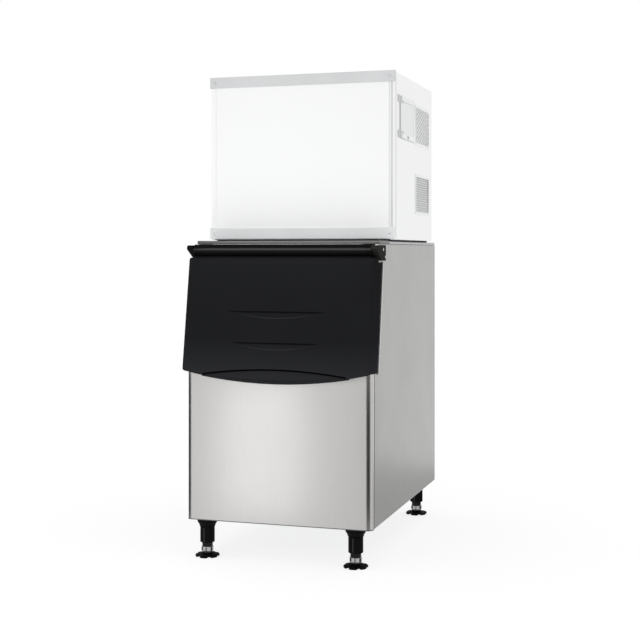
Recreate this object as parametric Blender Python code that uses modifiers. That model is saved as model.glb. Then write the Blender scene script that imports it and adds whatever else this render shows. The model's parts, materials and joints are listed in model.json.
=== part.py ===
"""Modular cube ice machine: an ice maker head on an insulated storage bin with four legs.

The bin's lower front panel looks along -Y and +Z is up. The origin lies on the floor under the
middle of the footprint. All sizes are in metres.
"""

import math

import bmesh
import bpy
from mathutils import Matrix, Vector

# Driving sizes of the storage bin
bin_width = 0.560
bin_depth = 0.830
bin_height = 0.813
leg_height = 0.110
sheet = 0.0012
bend_radius = 0.0022
fold = 0.012
gap = 0.0003
side_setback = 0.032
throat_setback = 0.080
sill_height = 0.440
shelf_depth = 0.125
shelf_edge = 0.0095
deck_step = 0.0015
front_bend_radius = 0.012
front_return = 0.029
base_upstand = 0.025
liner_wall = 0.0035
foam_thickness = 0.042
cove_radius = 0.014
throat_border = 0.034
throat_side_border = 0.022
throat_radius = 0.008
throat_edge_cover = 0.006
throat_foam_cover = 0.010
throat_cut_play = 0.040
throat_frame_thickness = 0.006
throat_frame_clearance = 0.0006
panel_cover = 0.006
drain_inset = 0.120
drain_wall = 0.004
drain_flange = 0.008

# Driving sizes of the ice maker head
head_overhang = 0.010
head_depth = 0.516
head_height = 0.5005
head_setback = 0.212
gasket_height = 0.0035
gasket_width = 0.030
gasket_inset = 0.001
trim_height = 0.033
trim_wall = 0.0025
trim_overhang = 0.0045
trim_wrap = 0.010
lid_edge = 0.010
trim_rise = 0.0035
trim_radius = 0.004

# Driving sizes of the door and its hinge
door_wall = 0.004
door_side_gap = 0.0008
door_side_draft = 0.0053
door_draft_depth = 0.046
door_top_reach = 0.018
door_bottom_reach = 0.038
door_top_drop = 0.0215
door_reach_drop = 0.010
door_bottom_drop = 0.033
door_arc_rise = 0.031
door_flange = 0.079
door_thickness = 0.034
door_liner_depth = 0.022
door_return = 0.028
lip_rounding = 0.0041
door_corner_radius = 0.006
door_arc_steps = 12
web_inset = 0.004
upper_smile_drop = 0.1535
upper_smile_width = 0.304
upper_smile_rise = 0.019
lower_smile_drop = 0.2422
lower_smile_width = 0.272
lower_smile_rise = 0.0196
smile_depth = 0.0028
pull_depth = 0.007
pull_height = 0.041
pull_side_inset = 0.0698
pull_end_drop = 0.016
hinge_setback = 0.041
hinge_height = 0.785
barrel_radius = 0.017
barrel_end_gap = 0.010
pin_radius = 0.004
pin_running_gap = 0.00009
pin_length = 0.030
bracket_thickness = 0.0175
bracket_length = 0.1045
bracket_nose = 0.0195
bracket_rise = 0.0145
bracket_drop = 0.030
bracket_heel = 0.038
bracket_tip_radius = 0.008
bracket_relief = 0.0075
bracket_screws = ((0.053, 0.002), (0.076, -0.0195))
bracket_screw_radius = 0.0022

# Driving sizes of the legs
leg_inset_x = 0.0545
leg_inset_front = 0.028
leg_inset_rear = 0.042
leg_flange_radius = 0.0295
leg_flange_edge = 0.003
leg_neck_height = 0.017
leg_radius = 0.0218
leg_tube_height = 0.0675
stem_radius = 0.015
stem_play = 0.0005
hex_drop = 0.0040
hex_height = 0.0220
hex_flats = 0.0315
foot_radius = 0.0350
foot_lobes = 6
foot_scallop = 0.003

# Driving sizes of the side fittings
vent_width = 0.198
vent_height = 0.126
vent_frame = 0.008
slat_count = 15
vent_plate = 0.0016
slat_depth = 0.0074
slat_thickness = 0.0011
slat_tilt = 32
control_width = 0.198
control_height = 0.132
cover_bar_radius = 0.0032
cover_knuckle_radius = 0.006
cover_play = 0.0009
cover_rail = 0.013
cover_thickness = 0.0042
cover_lift = 0.0036
cover_axis_inset = 0.0022
bezel_depth = 0.024
bezel_wall = 0.0022
bezel_lip = 0.0010
bezel_radius = 0.0022
vent_back_margin = 0.0431
vent_top_margin = 0.072
vent_base_margin = 0.0835
control_vent_gap = 0.016
control_top_margin = 0.064
control_plate_border = 0.011
control_plate_thickness = 0.0020
switch_offset = 0.030
switch_reach = 0.0010
switch_half_length = 0.013
switch_half_width = 0.0098

# Driving sizes of the works in the head
wet_wall = 0.003
wet_side_clearance = 0.003
wet_bay_share = 0.5776
wet_front_inset = 0.022
wet_depth_share = 0.694
wet_top_clearance = 0.030
chute_side_inset = 0.010
chute_front_inset = 0.042
chute_depth = 0.158
head_base_upstand = 0.022
evaporator_setback = 0.240
evaporator_lift = 0.1975
evaporator_height_share = 0.4316
evaporator_rib = 0.0016
evaporator_back = 0.003
distributor_radius = 0.010
curtain_pin_radius = 0.004
curtain_thickness = 0.003
curtain_forward = 0.022
curtain_above = 0.006
curtain_below = 0.026
trough_drop = 0.064
trough_height = 0.052
trough_front = 0.010
trough_depth = 0.105
trough_wall = 0.002
pump_inset_x = 0.060
pump_inset_y = 0.036
pump_radius = 0.026
pump_height = 0.128
compressor_setback = 0.135
compressor_radius = 0.082
compressor_height = 0.205
compressor_foot_half_x = 0.090
compressor_foot_half_y = 0.075
condenser_thickness = 0.032
condenser_half_width = 0.105
condenser_lift = 0.0735
condenser_high_height = 1.250
condenser_clearance = 0.006
fin_pitch = 0.0172
fin_half = 0.0015
condenser_core = 0.010
fan_radius = 0.092
fan_tip_gap = 0.004
fan_standoff = 0.030
fan_hub_radius = 0.020
fan_hub_half = 0.010
blade_camber = 0.004
blade_flatness_share = 0.62
blade_thickness = 0.0016
shaft_radius = 0.004
shaft_running_gap = 0.00006
shroud_thickness = 0.0020
shroud_ring_depth = 0.030
motor_radius = 0.036
motor_length = 0.052
motor_standoff = 0.020
motor_arm_thickness = 0.004
motor_arm_half = 0.010
control_box_depth = 0.110
control_box_side_inset = 0.009
control_box_top_inset = 0.004
fitting_height = 0.0625
water_offset = 0.045
water_inlet_reach = 0.026
gland_offset = 0.105
exhaust_rows = 5
exhaust_columns = 2
exhaust_pitch_share = 0.181
exhaust_shift_share = 0.53
exhaust_row_share = 0.104
exhaust_bridge = 0.017
exhaust_radius = 0.006
water_body_radius = 0.0105
gland_body_radius = 0.0085

# Places that follow from the driving sizes
half_bin = bin_width / 2
head_width = bin_width + 2 * head_overhang
half_head = head_width / 2
door_half = half_bin + door_side_gap + door_wall
door_face_half = door_half - door_side_draft
door_top_height = hinge_height - door_top_drop
door_reach_height = sill_height - door_reach_drop
door_bottom_height = sill_height - door_bottom_drop
pull_half = door_half - pull_side_inset
door_slope = (door_top_reach + door_bottom_reach) / (door_top_height - door_reach_height)
door_reach = door_bottom_reach + (door_reach_height - door_bottom_height) * door_slope - lip_rounding
front_y = -(bin_depth - door_reach) / 2
back_y = front_y + bin_depth
floor_z = leg_height
bin_top_z = floor_z + bin_height
deck_top_z = bin_top_z - deck_step
side_top_z = bin_top_z - shelf_edge - gap
sill_z = floor_z + sill_height
throat_y = front_y + throat_setback
shelf_back_y = throat_y + shelf_depth
hinge_y = front_y + hinge_setback
hinge_z = floor_z + hinge_height
head_base_z = bin_top_z + gasket_height
head_top_z = head_base_z + head_height
head_front_y = front_y + head_setback + trim_wall + 2 * gap
head_back_y = head_front_y + head_depth

parts = None
cutters = None


def new_collection(name):
    collection = bpy.data.collections.new(name)
    bpy.context.scene.collection.children.link(collection)
    return collection


def finish(obj, colour, roughness, metallic=0.0):
    """Give one sub-part its own Principled material."""
    surface = bpy.data.materials.new(obj.name + "_finish")
    surface.use_nodes = True
    shader = surface.node_tree.nodes["Principled BSDF"]
    shader.inputs["Base Color"].default_value = (*colour, 1.0)
    shader.inputs["Roughness"].default_value = roughness
    shader.inputs["Metallic"].default_value = metallic
    obj.data.materials.append(surface)
    return obj


def stainless(obj):
    return finish(obj, (0.62, 0.61, 0.59), 0.35, 1.0)


def white_enamel(obj):
    return finish(obj, (0.86, 0.86, 0.86), 0.45)


def galvanised(obj):
    return finish(obj, (0.55, 0.56, 0.57), 0.5, 1.0)


def black_plastic(obj):
    return finish(obj, (0.016, 0.017, 0.018), 0.5)


def grey_plastic(obj):
    return finish(obj, (0.62, 0.63, 0.64), 0.5)


def white_plastic(obj):
    return finish(obj, (0.80, 0.81, 0.82), 0.4)


def chrome(obj):
    return finish(obj, (0.75, 0.75, 0.76), 0.12, 1.0)


def link_mesh(name, bm, target=None):
    mesh = bpy.data.meshes.new(name)
    bm.to_mesh(mesh)
    bm.free()
    obj = bpy.data.objects.new(name, mesh)
    (target or parts).objects.link(obj)
    return obj


def as_cutter(obj):
    """Keep a shape for a Boolean only."""
    if obj.name in parts.objects:
        parts.objects.unlink(obj)
        cutters.objects.link(obj)
    obj.hide_render = True
    obj.display_type = "WIRE"
    return obj


def block(name, low, high):
    """A rectangular solid between two corners, with its origin at its centre."""
    bm = bmesh.new()
    bmesh.ops.create_cube(bm, size=1.0)
    size = Vector(high) - Vector(low)
    bmesh.ops.scale(bm, vec=size, verts=bm.verts)
    obj = link_mesh(name, bm)
    obj.location = (Vector(high) + Vector(low)) / 2
    return obj


def rod(name, radius, start, end, segments=24, radius_end=None):
    """A cylinder or cone between two points, with its origin half-way."""
    start = Vector(start)
    end = Vector(end)
    bm = bmesh.new()
    far = radius if radius_end is None else radius_end
    bmesh.ops.create_cone(bm, cap_ends=True, segments=segments, radius1=radius, radius2=far,
                          depth=(end - start).length)
    turn = Vector((0, 0, 1)).rotation_difference(end - start).to_matrix()
    bmesh.ops.rotate(bm, cent=(0, 0, 0), matrix=turn, verts=bm.verts)
    obj = link_mesh(name, bm)
    obj.location = (start + end) / 2
    return obj


def turned(name, profile, location, steps=32, axis="Z"):
    """A revolved shape: profile points are (radius, height), top to bottom on the outer side."""
    bm = bmesh.new()
    ring = profile[0] == profile[-1]
    points = [bm.verts.new((radius, 0, height)) for radius, height in profile[:-1 if ring else None]]
    for first, second in zip(points, points[1:] + points[:1] * ring):
        bm.edges.new((first, second))
    obj = link_mesh(name, bm)
    screw = obj.modifiers.new("turn", "SCREW")
    screw.steps = steps
    screw.render_steps = steps
    screw.use_merge_vertices = True
    screw.merge_threshold = 0.00001
    obj.location = location
    if axis == "X":
        obj.rotation_euler = (0, math.pi / 2, 0)
    if axis == "Y":
        obj.rotation_euler = (math.pi / 2, 0, 0)
    return obj


def plate(name, outlines, thickness, plane, location):
    """A flat sheet from closed outlines; the inner outlines are its holes."""
    curve = bpy.data.curves.new(name, "CURVE")
    curve.dimensions = "2D"
    curve.fill_mode = "BOTH"
    curve.extrude = thickness / 2
    for outline in outlines:
        spline = curve.splines.new("POLY")
        spline.points.add(len(outline) - 1)
        spline.use_cyclic_u = True
        for point, (u, v) in zip(spline.points, outline):
            point.co = (u, v, 0, 1)
    obj = bpy.data.objects.new(name, curve)
    parts.objects.link(obj)
    obj.location = location
    if plane == "XZ":
        obj.rotation_euler = (math.pi / 2, 0, 0)
    if plane == "YZ":
        obj.rotation_euler = (math.pi / 2, 0, math.pi / 2)
    return meshed(obj)


def meshed(curve_object):
    """Turn a curve into a welded mesh that Booleans and bevels can work on."""
    bpy.context.view_layer.update()
    evaluated = curve_object.evaluated_get(bpy.context.evaluated_depsgraph_get())
    mesh = bpy.data.meshes.new_from_object(evaluated)
    name = curve_object.name
    place = curve_object.matrix_world.copy()
    curve = curve_object.data
    bpy.data.objects.remove(curve_object)
    bpy.data.curves.remove(curve)
    bm = bmesh.new()
    bm.from_mesh(mesh)
    bmesh.ops.remove_doubles(bm, verts=bm.verts, dist=0.00001)
    bmesh.ops.recalc_face_normals(bm, faces=bm.faces)
    bm.to_mesh(mesh)
    bm.free()
    obj = bpy.data.objects.new(name, mesh)
    parts.objects.link(obj)
    obj.matrix_world = place
    return obj


def rectangle(width, height, centre=(0, 0), radius=0.0, corner_steps=3):
    """Corner points of a rectangle, with round corners where a radius is given."""
    u0, v0 = centre
    if radius <= 0:
        signs = ((-1, -1), (1, -1), (1, 1), (-1, 1))
        return [(u0 + su * width / 2, v0 + sv * height / 2) for su, sv in signs]
    points = []
    for index, (su, sv) in enumerate(((1, -1), (1, 1), (-1, 1), (-1, -1))):
        cu = u0 + su * (width / 2 - radius)
        cv = v0 + sv * (height / 2 - radius)
        for step in range(corner_steps + 1):
            angle = math.radians(-90 + 90 * index + 90 * step / corner_steps)
            points.append((cu + radius * math.cos(angle), cv + radius * math.sin(angle)))
    return points


def arc(centre, radius, start, end, steps):
    """Points on a circle between two angles in degrees."""
    angles = [math.radians(start + (end - start) * step / steps) for step in range(steps + 1)]
    return [(centre[0] + radius * math.cos(angle), centre[1] + radius * math.sin(angle)) for angle in angles]


def bevel(obj, width, segments=2, angle=40):
    rounding = obj.modifiers.new("rounding", "BEVEL")
    rounding.width = width
    rounding.segments = segments
    rounding.limit_method = "ANGLE"
    rounding.angle_limit = math.radians(angle)
    return obj


def solidify(obj, thickness):
    wall = obj.modifiers.new("wall", "SOLIDIFY")
    wall.thickness = thickness
    wall.offset = -1
    wall.use_even_offset = True
    return obj


def boolean(obj, other, operation="DIFFERENCE"):
    joint = obj.modifiers.new(operation.lower(), "BOOLEAN")
    joint.operation = operation
    joint.object = as_cutter(other)
    return obj


def pivot_at(obj, point):
    """Put an object's origin on its joint axis and leave its surface where it is."""
    shift = obj.matrix_basis.inverted() @ Vector(point)
    obj.data.transform(Matrix.Translation(-shift))
    obj.matrix_basis = obj.matrix_basis @ Matrix.Translation(shift)
    return obj


def smooth(obj, angle=35):
    obj.data.shade_smooth()
    obj.data.set_sharp_from_angle(angle=math.radians(angle))
    return obj


def pan(name, outline, inward, depth, wall=sheet, radius=bend_radius, segments=2):
    """A folded sheet: a flat face on the outline with returns bent inward all round."""
    inward = Vector(inward)
    bm = bmesh.new()
    corners = [bm.verts.new(point) for point in outline]
    bm.faces.new(corners)
    fold_out = bmesh.ops.extrude_edge_only(bm, edges=bm.edges[:])
    moved = [item for item in fold_out["geom"] if isinstance(item, bmesh.types.BMVert)]
    bmesh.ops.translate(bm, vec=inward * depth, verts=moved)
    bmesh.ops.recalc_face_normals(bm, faces=bm.faces)
    bm.faces.ensure_lookup_table()
    main = max(bm.faces, key=lambda face: abs(face.normal.dot(inward)) * face.calc_area())
    if main.normal.dot(inward) > 0:
        bmesh.ops.reverse_faces(bm, faces=bm.faces)
    obj = link_mesh(name, bm)
    bevel(obj, radius, segments)
    return solidify(obj, wall)


def channel(name, profile, low_z, high_z, wall):
    """A bent strip: an open (x, y) profile raised between two heights."""
    bm = bmesh.new()
    foot = [bm.verts.new((x, y, low_z)) for x, y in profile]
    edges = [bm.edges.new(pair) for pair in zip(foot, foot[1:])]
    raised = bmesh.ops.extrude_edge_only(bm, edges=edges)
    top = [item for item in raised["geom"] if isinstance(item, bmesh.types.BMVert)]
    bmesh.ops.translate(bm, vec=(0, 0, high_z - low_z), verts=top)
    bm.normal_update()
    front = min(bm.faces, key=lambda face: face.calc_center_median().y)
    if front.normal.y > 0:
        bmesh.ops.reverse_faces(bm, faces=bm.faces)
    return solidify(link_mesh(name, bm), wall)


def corners_yz(x, points):
    return [(x, y, z) for y, z in points]


def slope_y(z):
    """The bin's front line: upright up to the sill, then leaning back to the top."""
    start = front_y + side_setback
    if z <= sill_z:
        return start
    return start + (throat_y - start) * (z - sill_z) / (bin_top_z - sill_z)


def face_y(z):
    """The plane of the door's outer face."""
    return front_y - door_top_reach + 2 * door_top_reach - (floor_z + door_top_height - z) * door_slope


# Storage bin


def make_bin_side(name, side):
    rear = back_y - sheet - gap
    outline = [
        (slope_y(floor_z), floor_z),
        (rear, floor_z),
        (rear, side_top_z),
        (slope_y(side_top_z), side_top_z),
        (slope_y(sill_z), sill_z),
    ]
    obj = pan(name, corners_yz(side * half_bin, outline), (-side, 0, 0), fold)
    return stainless(obj)


def make_bin_back():
    outline = rectangle(bin_width, side_top_z - floor_z, (0, (side_top_z + floor_z) / 2), 0.004)
    obj = plate("bin_back", [outline], sheet, "XZ", (0, back_y - sheet / 2, 0))
    return galvanised(obj)


def make_bin_front_panel():
    r = front_bend_radius
    left = arc((-half_bin + r, front_y + r), r, 180, 270, 4)
    right = arc((half_bin - r, front_y + r), r, 270, 360, 4)
    back = front_y + front_return
    profile = [(-half_bin, back)] + left + right + [(half_bin, back)]
    obj = channel("bin_front_panel", profile, floor_z, sill_z + panel_cover, sheet)
    return stainless(smooth(obj))


def make_bin_base():
    half = half_bin - sheet - fold - 2 * gap
    low_y = front_y + sheet + gap
    high_y = back_y - 2 * sheet - fold - 3 * gap
    z = floor_z
    outline = [(-half, low_y, z), (half, low_y, z), (half, high_y, z), (-half, high_y, z)]
    obj = pan("bin_base", outline, (0, 0, 1), base_upstand, segments=1)
    boolean(obj, drain_cutter("base_drain_cutter"))
    return galvanised(obj)


def make_bin_front_shelf():
    y0 = throat_y
    y1 = shelf_back_y
    z = bin_top_z
    outline = [(-half_bin, y0, z), (half_bin, y0, z), (half_bin, y1, z), (-half_bin, y1, z)]
    return stainless(pan("bin_front_shelf", outline, (0, 0, -1), shelf_edge))


deck_side_margin = 0.055
deck_front_margin = 0.052
deck_rear_margin = 0.090


def deck_opening():
    """The hole in the deck through which the ice falls: side, front and rear limits."""
    half = half_bin - deck_side_margin
    return -half, half, head_front_y + deck_front_margin, head_back_y - deck_rear_margin


def make_bin_deck():
    y0 = shelf_back_y + gap
    z = deck_top_z
    outline = [(-half_bin, y0, z), (half_bin, y0, z), (half_bin, back_y, z), (-half_bin, back_y, z)]
    obj = pan("bin_deck", outline, (0, 0, -1), shelf_edge - deck_step, segments=1)
    x0, x1, low_y, high_y = deck_opening()
    boolean(obj, block("deck_opening_cutter", (x0, low_y, z - 0.05), (x1, high_y, z + 0.05)))
    return galvanised(obj)


def liner_profile(grow=0.0):
    """The storage space seen from the side, as outer wall points grown by a clearance."""
    front = front_y + foam_thickness + sheet - grow
    rear = back_y - sheet - foam_thickness + grow
    bottom = floor_z + foam_thickness + sheet - grow
    top = side_top_z - gap + (0.05 if grow else 0.0)
    lean = -grow
    return [
        (front, bottom),
        (rear, bottom),
        (rear, top),
        (slope_y(top) + lean, top),
        (slope_y(sill_z) + lean + 0.004, sill_z + 0.004 - grow),
        (front, sill_z - 0.012 - grow),
    ]


liner_half = half_bin - sheet - foam_thickness
drain_radius = 0.016
drain_y = back_y - drain_inset
liner_floor_z = floor_z + foam_thickness + sheet + liner_wall
throat_low_z = sill_z + throat_border
throat_high_z = hinge_z - barrel_radius - 0.012
throat_half = half_bin - foam_thickness - throat_side_border


def make_bin_liner():
    """A moulded tub, open at the top under the head and at the sloping throat behind the door."""
    bm = bmesh.new()
    profile = liner_profile()
    verts = [bm.verts.new((-liner_half, y, z)) for y, z in profile]
    side = bm.faces.new(verts)
    grown = bmesh.ops.extrude_face_region(bm, geom=[side])
    moved = [item for item in grown["geom"] if isinstance(item, bmesh.types.BMVert)]
    bmesh.ops.translate(bm, vec=(2 * liner_half, 0, 0), verts=moved)
    bmesh.ops.recalc_face_normals(bm, faces=bm.faces)
    lid = max(bm.faces, key=lambda face: face.calc_center_median().z)
    bmesh.ops.delete(bm, geom=[lid], context="FACES_ONLY")
    coves = [edge for edge in bm.edges if len(edge.link_faces) == 2 and edge.calc_face_angle() > 0.9]
    bmesh.ops.bevel(bm, geom=coves, offset=cove_radius, segments=2, profile=0.5, affect="EDGES", material=-1)
    obj = solidify(link_mesh("bin_liner", bm), liner_wall)
    boolean(obj, throat_cutter("liner_throat_cutter", throat_edge_cover))
    boolean(obj, drain_cutter("liner_drain_cutter"))
    return white_plastic(smooth(obj))


def throat_cutter(name, border):
    """A block that opens the sloping front between sill and header."""
    width = 2 * (throat_half + border)
    height = throat_high_z - throat_low_z + 2 * border
    middle = (throat_high_z + throat_low_z) / 2
    outline = rectangle(width, height, (0, middle), throat_radius)
    reach = throat_y - front_y - side_setback + foam_thickness + throat_cut_play
    return plate(name, [outline], reach, "XZ", (0, slope_y(middle) + throat_cut_play / 4, 0))


def make_throat_frame():
    """The moulded frame that finishes the throat and that the door closes against."""
    thickness = throat_frame_thickness
    rise = 0.5 * (throat_high_z + throat_low_z)
    lean = math.atan2(throat_y - slope_y(sill_z), bin_top_z - sill_z)
    low = sill_z + 0.012
    high = throat_high_z + 0.022
    outer = rectangle(bin_width - 2 * gap, (high - low) / math.cos(lean), (0, 0), 0.004)
    inner = rectangle(2 * throat_half, (throat_high_z - throat_low_z) / math.cos(lean), (0, 0), throat_radius)
    obj = plate("throat_frame", [outer, inner], thickness, "XZ", (0, 0, 0))
    obj.rotation_euler = (math.pi / 2 - lean, 0, 0)
    obj.location = (0, slope_y(rise) - thickness / 2 / math.cos(lean) - throat_frame_clearance, rise)
    bevel(obj, 0.0015, 1)
    return black_plastic(obj)


def make_bin_insulation():
    """Foamed-in insulation between the sheet skin and the tub."""
    inset = sheet + gap
    fold_clear = inset + fold
    bottom = floor_z + base_upstand + gap
    outline = [
        (front_y + front_return + fold + gap, bottom),
        (back_y - 2 * sheet - 2 * gap - fold, bottom),
        (back_y - 2 * sheet - 2 * gap - fold, side_top_z - inset),
        (slope_y(side_top_z) + fold_clear, side_top_z - inset),
        (slope_y(sill_z) + fold_clear, sill_z),
    ]
    obj = plate("bin_insulation", [outline], 2 * (half_bin - inset), "YZ", (0, 0, 0))
    bevel(obj, 0.003, 1)
    width = 2 * (liner_half + 2 * gap)
    hollow = plate("insulation_hollow_cutter", [liner_profile(gap * 2)], width, "YZ", (0, 0, 0))
    boolean(obj, hollow)
    boolean(obj, throat_cutter("insulation_throat_cutter", throat_foam_cover))
    boolean(obj, drain_cutter("insulation_drain_cutter"))
    return finish(obj, (0.80, 0.72, 0.50), 0.9)


def make_drain_fitting():
    """The flanged drain in the tub's floor, with a threaded tail under the bin."""
    flange_top = liner_floor_z + 0.003
    flange_low = liner_floor_z + gap
    tail = floor_z - 0.020
    bore = drain_radius - drain_wall
    wide = drain_radius + drain_flange
    profile = [
        (bore, flange_top),
        (wide - 0.001, flange_top),
        (wide, flange_low),
        (drain_radius, flange_low),
        (drain_radius, tail),
        (bore, tail),
        (bore, flange_top),
    ]
    obj = turned("drain_fitting", [(radius, z - tail) for radius, z in profile], (0, drain_y, tail), 16)
    return white_plastic(smooth(obj))


def drain_cutter(name):
    return rod(name, drain_radius + 2 * gap, (0, drain_y, floor_z - 0.02), (0, drain_y, floor_z + 0.10), 16)


def make_head_gasket():
    thickness = head_base_z - deck_top_z - 2 * gap
    low_y = head_front_y + fold
    high_y = head_back_y - fold
    middle = (low_y + high_y) / 2
    width = bin_width - 2 * gasket_inset
    outer = rectangle(width, high_y - low_y, (0, middle), 0.010)
    inner = rectangle(width - 2 * gasket_width, high_y - low_y - 2 * gasket_width, (0, middle), 0.006)
    obj = plate("head_gasket", [outer, inner], thickness, "XY", (0, 0, deck_top_z + gap + thickness / 2))
    return finish(obj, (0.02, 0.02, 0.02), 0.9)


# Door and hinge


def door_bottom_z(x):
    return floor_z + door_bottom_height + door_arc_rise * (x / half_bin) ** 2


def face_outline(grow=0.0):
    """The door face as (x, z) points: straight top and sides, and a lower edge that curves down."""
    half = door_face_half + grow
    top = floor_z + door_top_height + grow
    steps = door_arc_steps
    lower = [half - 2 * half * step / steps for step in range(steps + 1)]
    return [(-half, top), (half, top)] + [(x, door_bottom_z(x) - grow) for x in lower]


def make_door_skin(name):
    """The moulded face with its deep side flanges, top ledge and lower return, all one wall thick."""
    bm = bmesh.new()
    corners = [bm.verts.new((x, face_y(z), z)) for x, z in face_outline()]
    bm.faces.new(corners)
    rim = bm.edges[:]
    spread = door_half / door_face_half
    for depth, widen in ((door_draft_depth, spread), (door_flange - door_draft_depth, 1.0)):
        grown = bmesh.ops.extrude_edge_only(bm, edges=rim)["geom"]
        rim = [item for item in grown if isinstance(item, bmesh.types.BMEdge)]
        moved = [item for item in grown if isinstance(item, bmesh.types.BMVert)]
        bmesh.ops.translate(bm, vec=(0, depth, 0), verts=moved)
        bmesh.ops.scale(bm, vec=(widen, 1, 1), verts=moved)
    bm.normal_update()
    front = max(bm.faces, key=lambda face: face.calc_area())
    bmesh.ops.recalc_face_normals(bm, faces=bm.faces)
    if front.normal.y > 0:
        bmesh.ops.reverse_faces(bm, faces=bm.faces)
    soft = [edge for edge in bm.edges if not edge.is_boundary and edge.calc_face_angle() > 0.5]
    bmesh.ops.bevel(bm, geom=soft, offset=door_corner_radius, segments=3, profile=0.5, affect="EDGES",
                    material=-1)
    return solidify(link_mesh(name, bm), door_wall)


def barrel_profile(half_length):
    """Radius and height points of the hinge barrel, with one ring at each end."""
    r = barrel_radius
    ring = 0.0015
    upper = [
        (0.0, half_length),
        (r - 0.001, half_length),
        (r, half_length - 0.001),
        (r, half_length - 0.006),
        (r - ring, half_length - 0.007),
        (r - ring, half_length - 0.012),
        (r, half_length - 0.013),
    ]
    lower = [(radius, -height) for radius, height in reversed(upper)]
    return upper + lower


def on_face(obj, centre_z, depth, lean_in=0.0):
    """Lay a flat cutter on the door face, sunk by a depth and tipped in at its top."""
    obj.rotation_euler = (math.pi / 2 + math.atan(door_slope) + lean_in, 0, 0)
    obj.location = (0, face_y(centre_z) + depth, centre_z)
    return obj


cutter_thickness = 0.040
heel_start = 0.006
heel_end = 0.020
heel_over = 0.010
heel_drop = 0.014
pin_bore_share = 0.66
pin_seat_share = 0.6
pin_steps = 32


def smile_cutter(name, centre_z, width, rise):
    """A shallow scoop with a straight upper edge and a curved lower one, deepest at the top."""
    radius = (width * width / 4 + rise * rise) / (2 * rise)
    half_angle = math.degrees(math.asin(width / 2 / radius))
    outline = arc((0, radius - rise), radius, 270 - half_angle, 270 + half_angle, 12)
    obj = plate(name, [outline], cutter_thickness, "XZ", (0, 0, 0))
    return on_face(obj, centre_z, smile_depth - cutter_thickness / 2, -smile_depth / rise)


def pull_outline(grow=0.0, drop=0.012):
    """The finger pull: an arched upper line over the door's lower edge, as points about its crown."""
    crown = floor_z + door_bottom_height + pull_height + grow
    half = pull_half + grow
    upper = []
    lower = []
    steps = 10
    for step in range(steps + 1):
        x = -half + 2 * half * step / steps
        upper.append((x, -pull_end_drop * (x / half) ** 2 + grow))
        lower.append((x, door_bottom_z(x) - crown - drop))
    return list(reversed(upper)) + lower


def make_door_shell():
    obj = make_door_skin("door_shell")
    crown = floor_z + door_bottom_height + pull_height
    backing = plate("pull_backing_union", [pull_outline(0.006, -0.003)], pull_depth, "XZ", (0, 0, 0))
    on_face(backing, crown, door_wall - 0.0005 + pull_depth / 2)
    half_length = half_bin - barrel_end_gap
    top = floor_z + door_top_height
    web_half = half_length - web_inset
    web = block("door_web_union", (-web_half, hinge_y - door_wall, top - door_wall / 2),
                (web_half, hinge_y, hinge_z - pin_radius - web_inset))
    barrel = turned("door_barrel_union", barrel_profile(half_length), (0, hinge_y, hinge_z), 24, "X")
    inner = half_bin + door_side_gap
    ledge_half = door_face_half - door_wall - web_inset / 2
    low = floor_z + door_bottom_height
    far = back_y
    ledge = block("door_ledge_cutter", (-ledge_half, hinge_y, top - 0.012), (ledge_half, far, top + 0.004))
    lip = block("door_return_cutter", (-inner, face_y(low) + door_return, low - 0.02),
                (inner, far, low + door_arc_rise + 0.010))
    heel = [
        (hinge_y + heel_start, top + heel_over),
        (hinge_y + heel_end, top - heel_drop),
        (far, top - heel_drop - door_wall),
        (far, top + heel_over),
    ]
    corner = plate("door_corner_cutter", [heel], bin_width * 1.2, "YZ", (0, 0, 0))
    boolean(obj, ledge)
    boolean(obj, lip)
    boolean(obj, corner)
    boolean(obj, backing, "UNION")
    boolean(obj, web, "UNION")
    boolean(obj, barrel, "UNION")
    upper_z = top - upper_smile_drop
    lower_z = top - lower_smile_drop
    boolean(obj, smile_cutter("upper_smile_cutter", upper_z, upper_smile_width, upper_smile_rise))
    boolean(obj, smile_cutter("lower_smile_cutter", lower_z, lower_smile_width, lower_smile_rise))
    pull = plate("pull_cutter", [pull_outline()], cutter_thickness, "XZ", (0, 0, 0))
    boolean(obj, on_face(pull, crown, pull_depth - cutter_thickness / 2, -pull_depth / pull_height))
    for side, word in ((-1, "left"), (1, "right")):
        inner_end = side * (half_length - pin_length * pin_bore_share)
        outer_end = side * (half_length + web_inset)
        bore = rod("bore_cutter_" + word, pin_radius + pin_running_gap, (inner_end, hinge_y, hinge_z),
                   (outer_end, hinge_y, hinge_z), pin_steps)
        boolean(obj, bore)
    return black_plastic(pivot_at(obj, (0, hinge_y, hinge_z)))


def make_door_liner():
    """The inner panel that closes the back of the door between its flanges."""
    front_depth = door_thickness - door_liner_depth
    half = door_face_half - door_wall - gap + door_side_draft * front_depth / door_draft_depth
    offset = door_thickness
    low = floor_z + door_bottom_height + door_arc_rise + 0.012
    high = floor_z + door_top_height - door_liner_depth
    outline = [
        (-half, face_y(low) + offset, low),
        (half, face_y(low) + offset, low),
        (half, face_y(high) + offset, high),
        (-half, face_y(high) + offset, high),
    ]
    obj = pan("door_liner", outline, (0, -1, 0), door_liner_depth, 0.0025, 0.004, 1)
    return grey_plastic(pivot_at(obj, (0, hinge_y, hinge_z)))


def make_hinge_pin(name, side):
    inner = half_bin - barrel_end_gap - pin_length * pin_seat_share
    ends = (side * inner, hinge_y, hinge_z), (side * (inner + pin_length), hinge_y, hinge_z)
    obj = rod(name, pin_radius, *ends, pin_steps)
    return chrome(smooth(obj))


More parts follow.
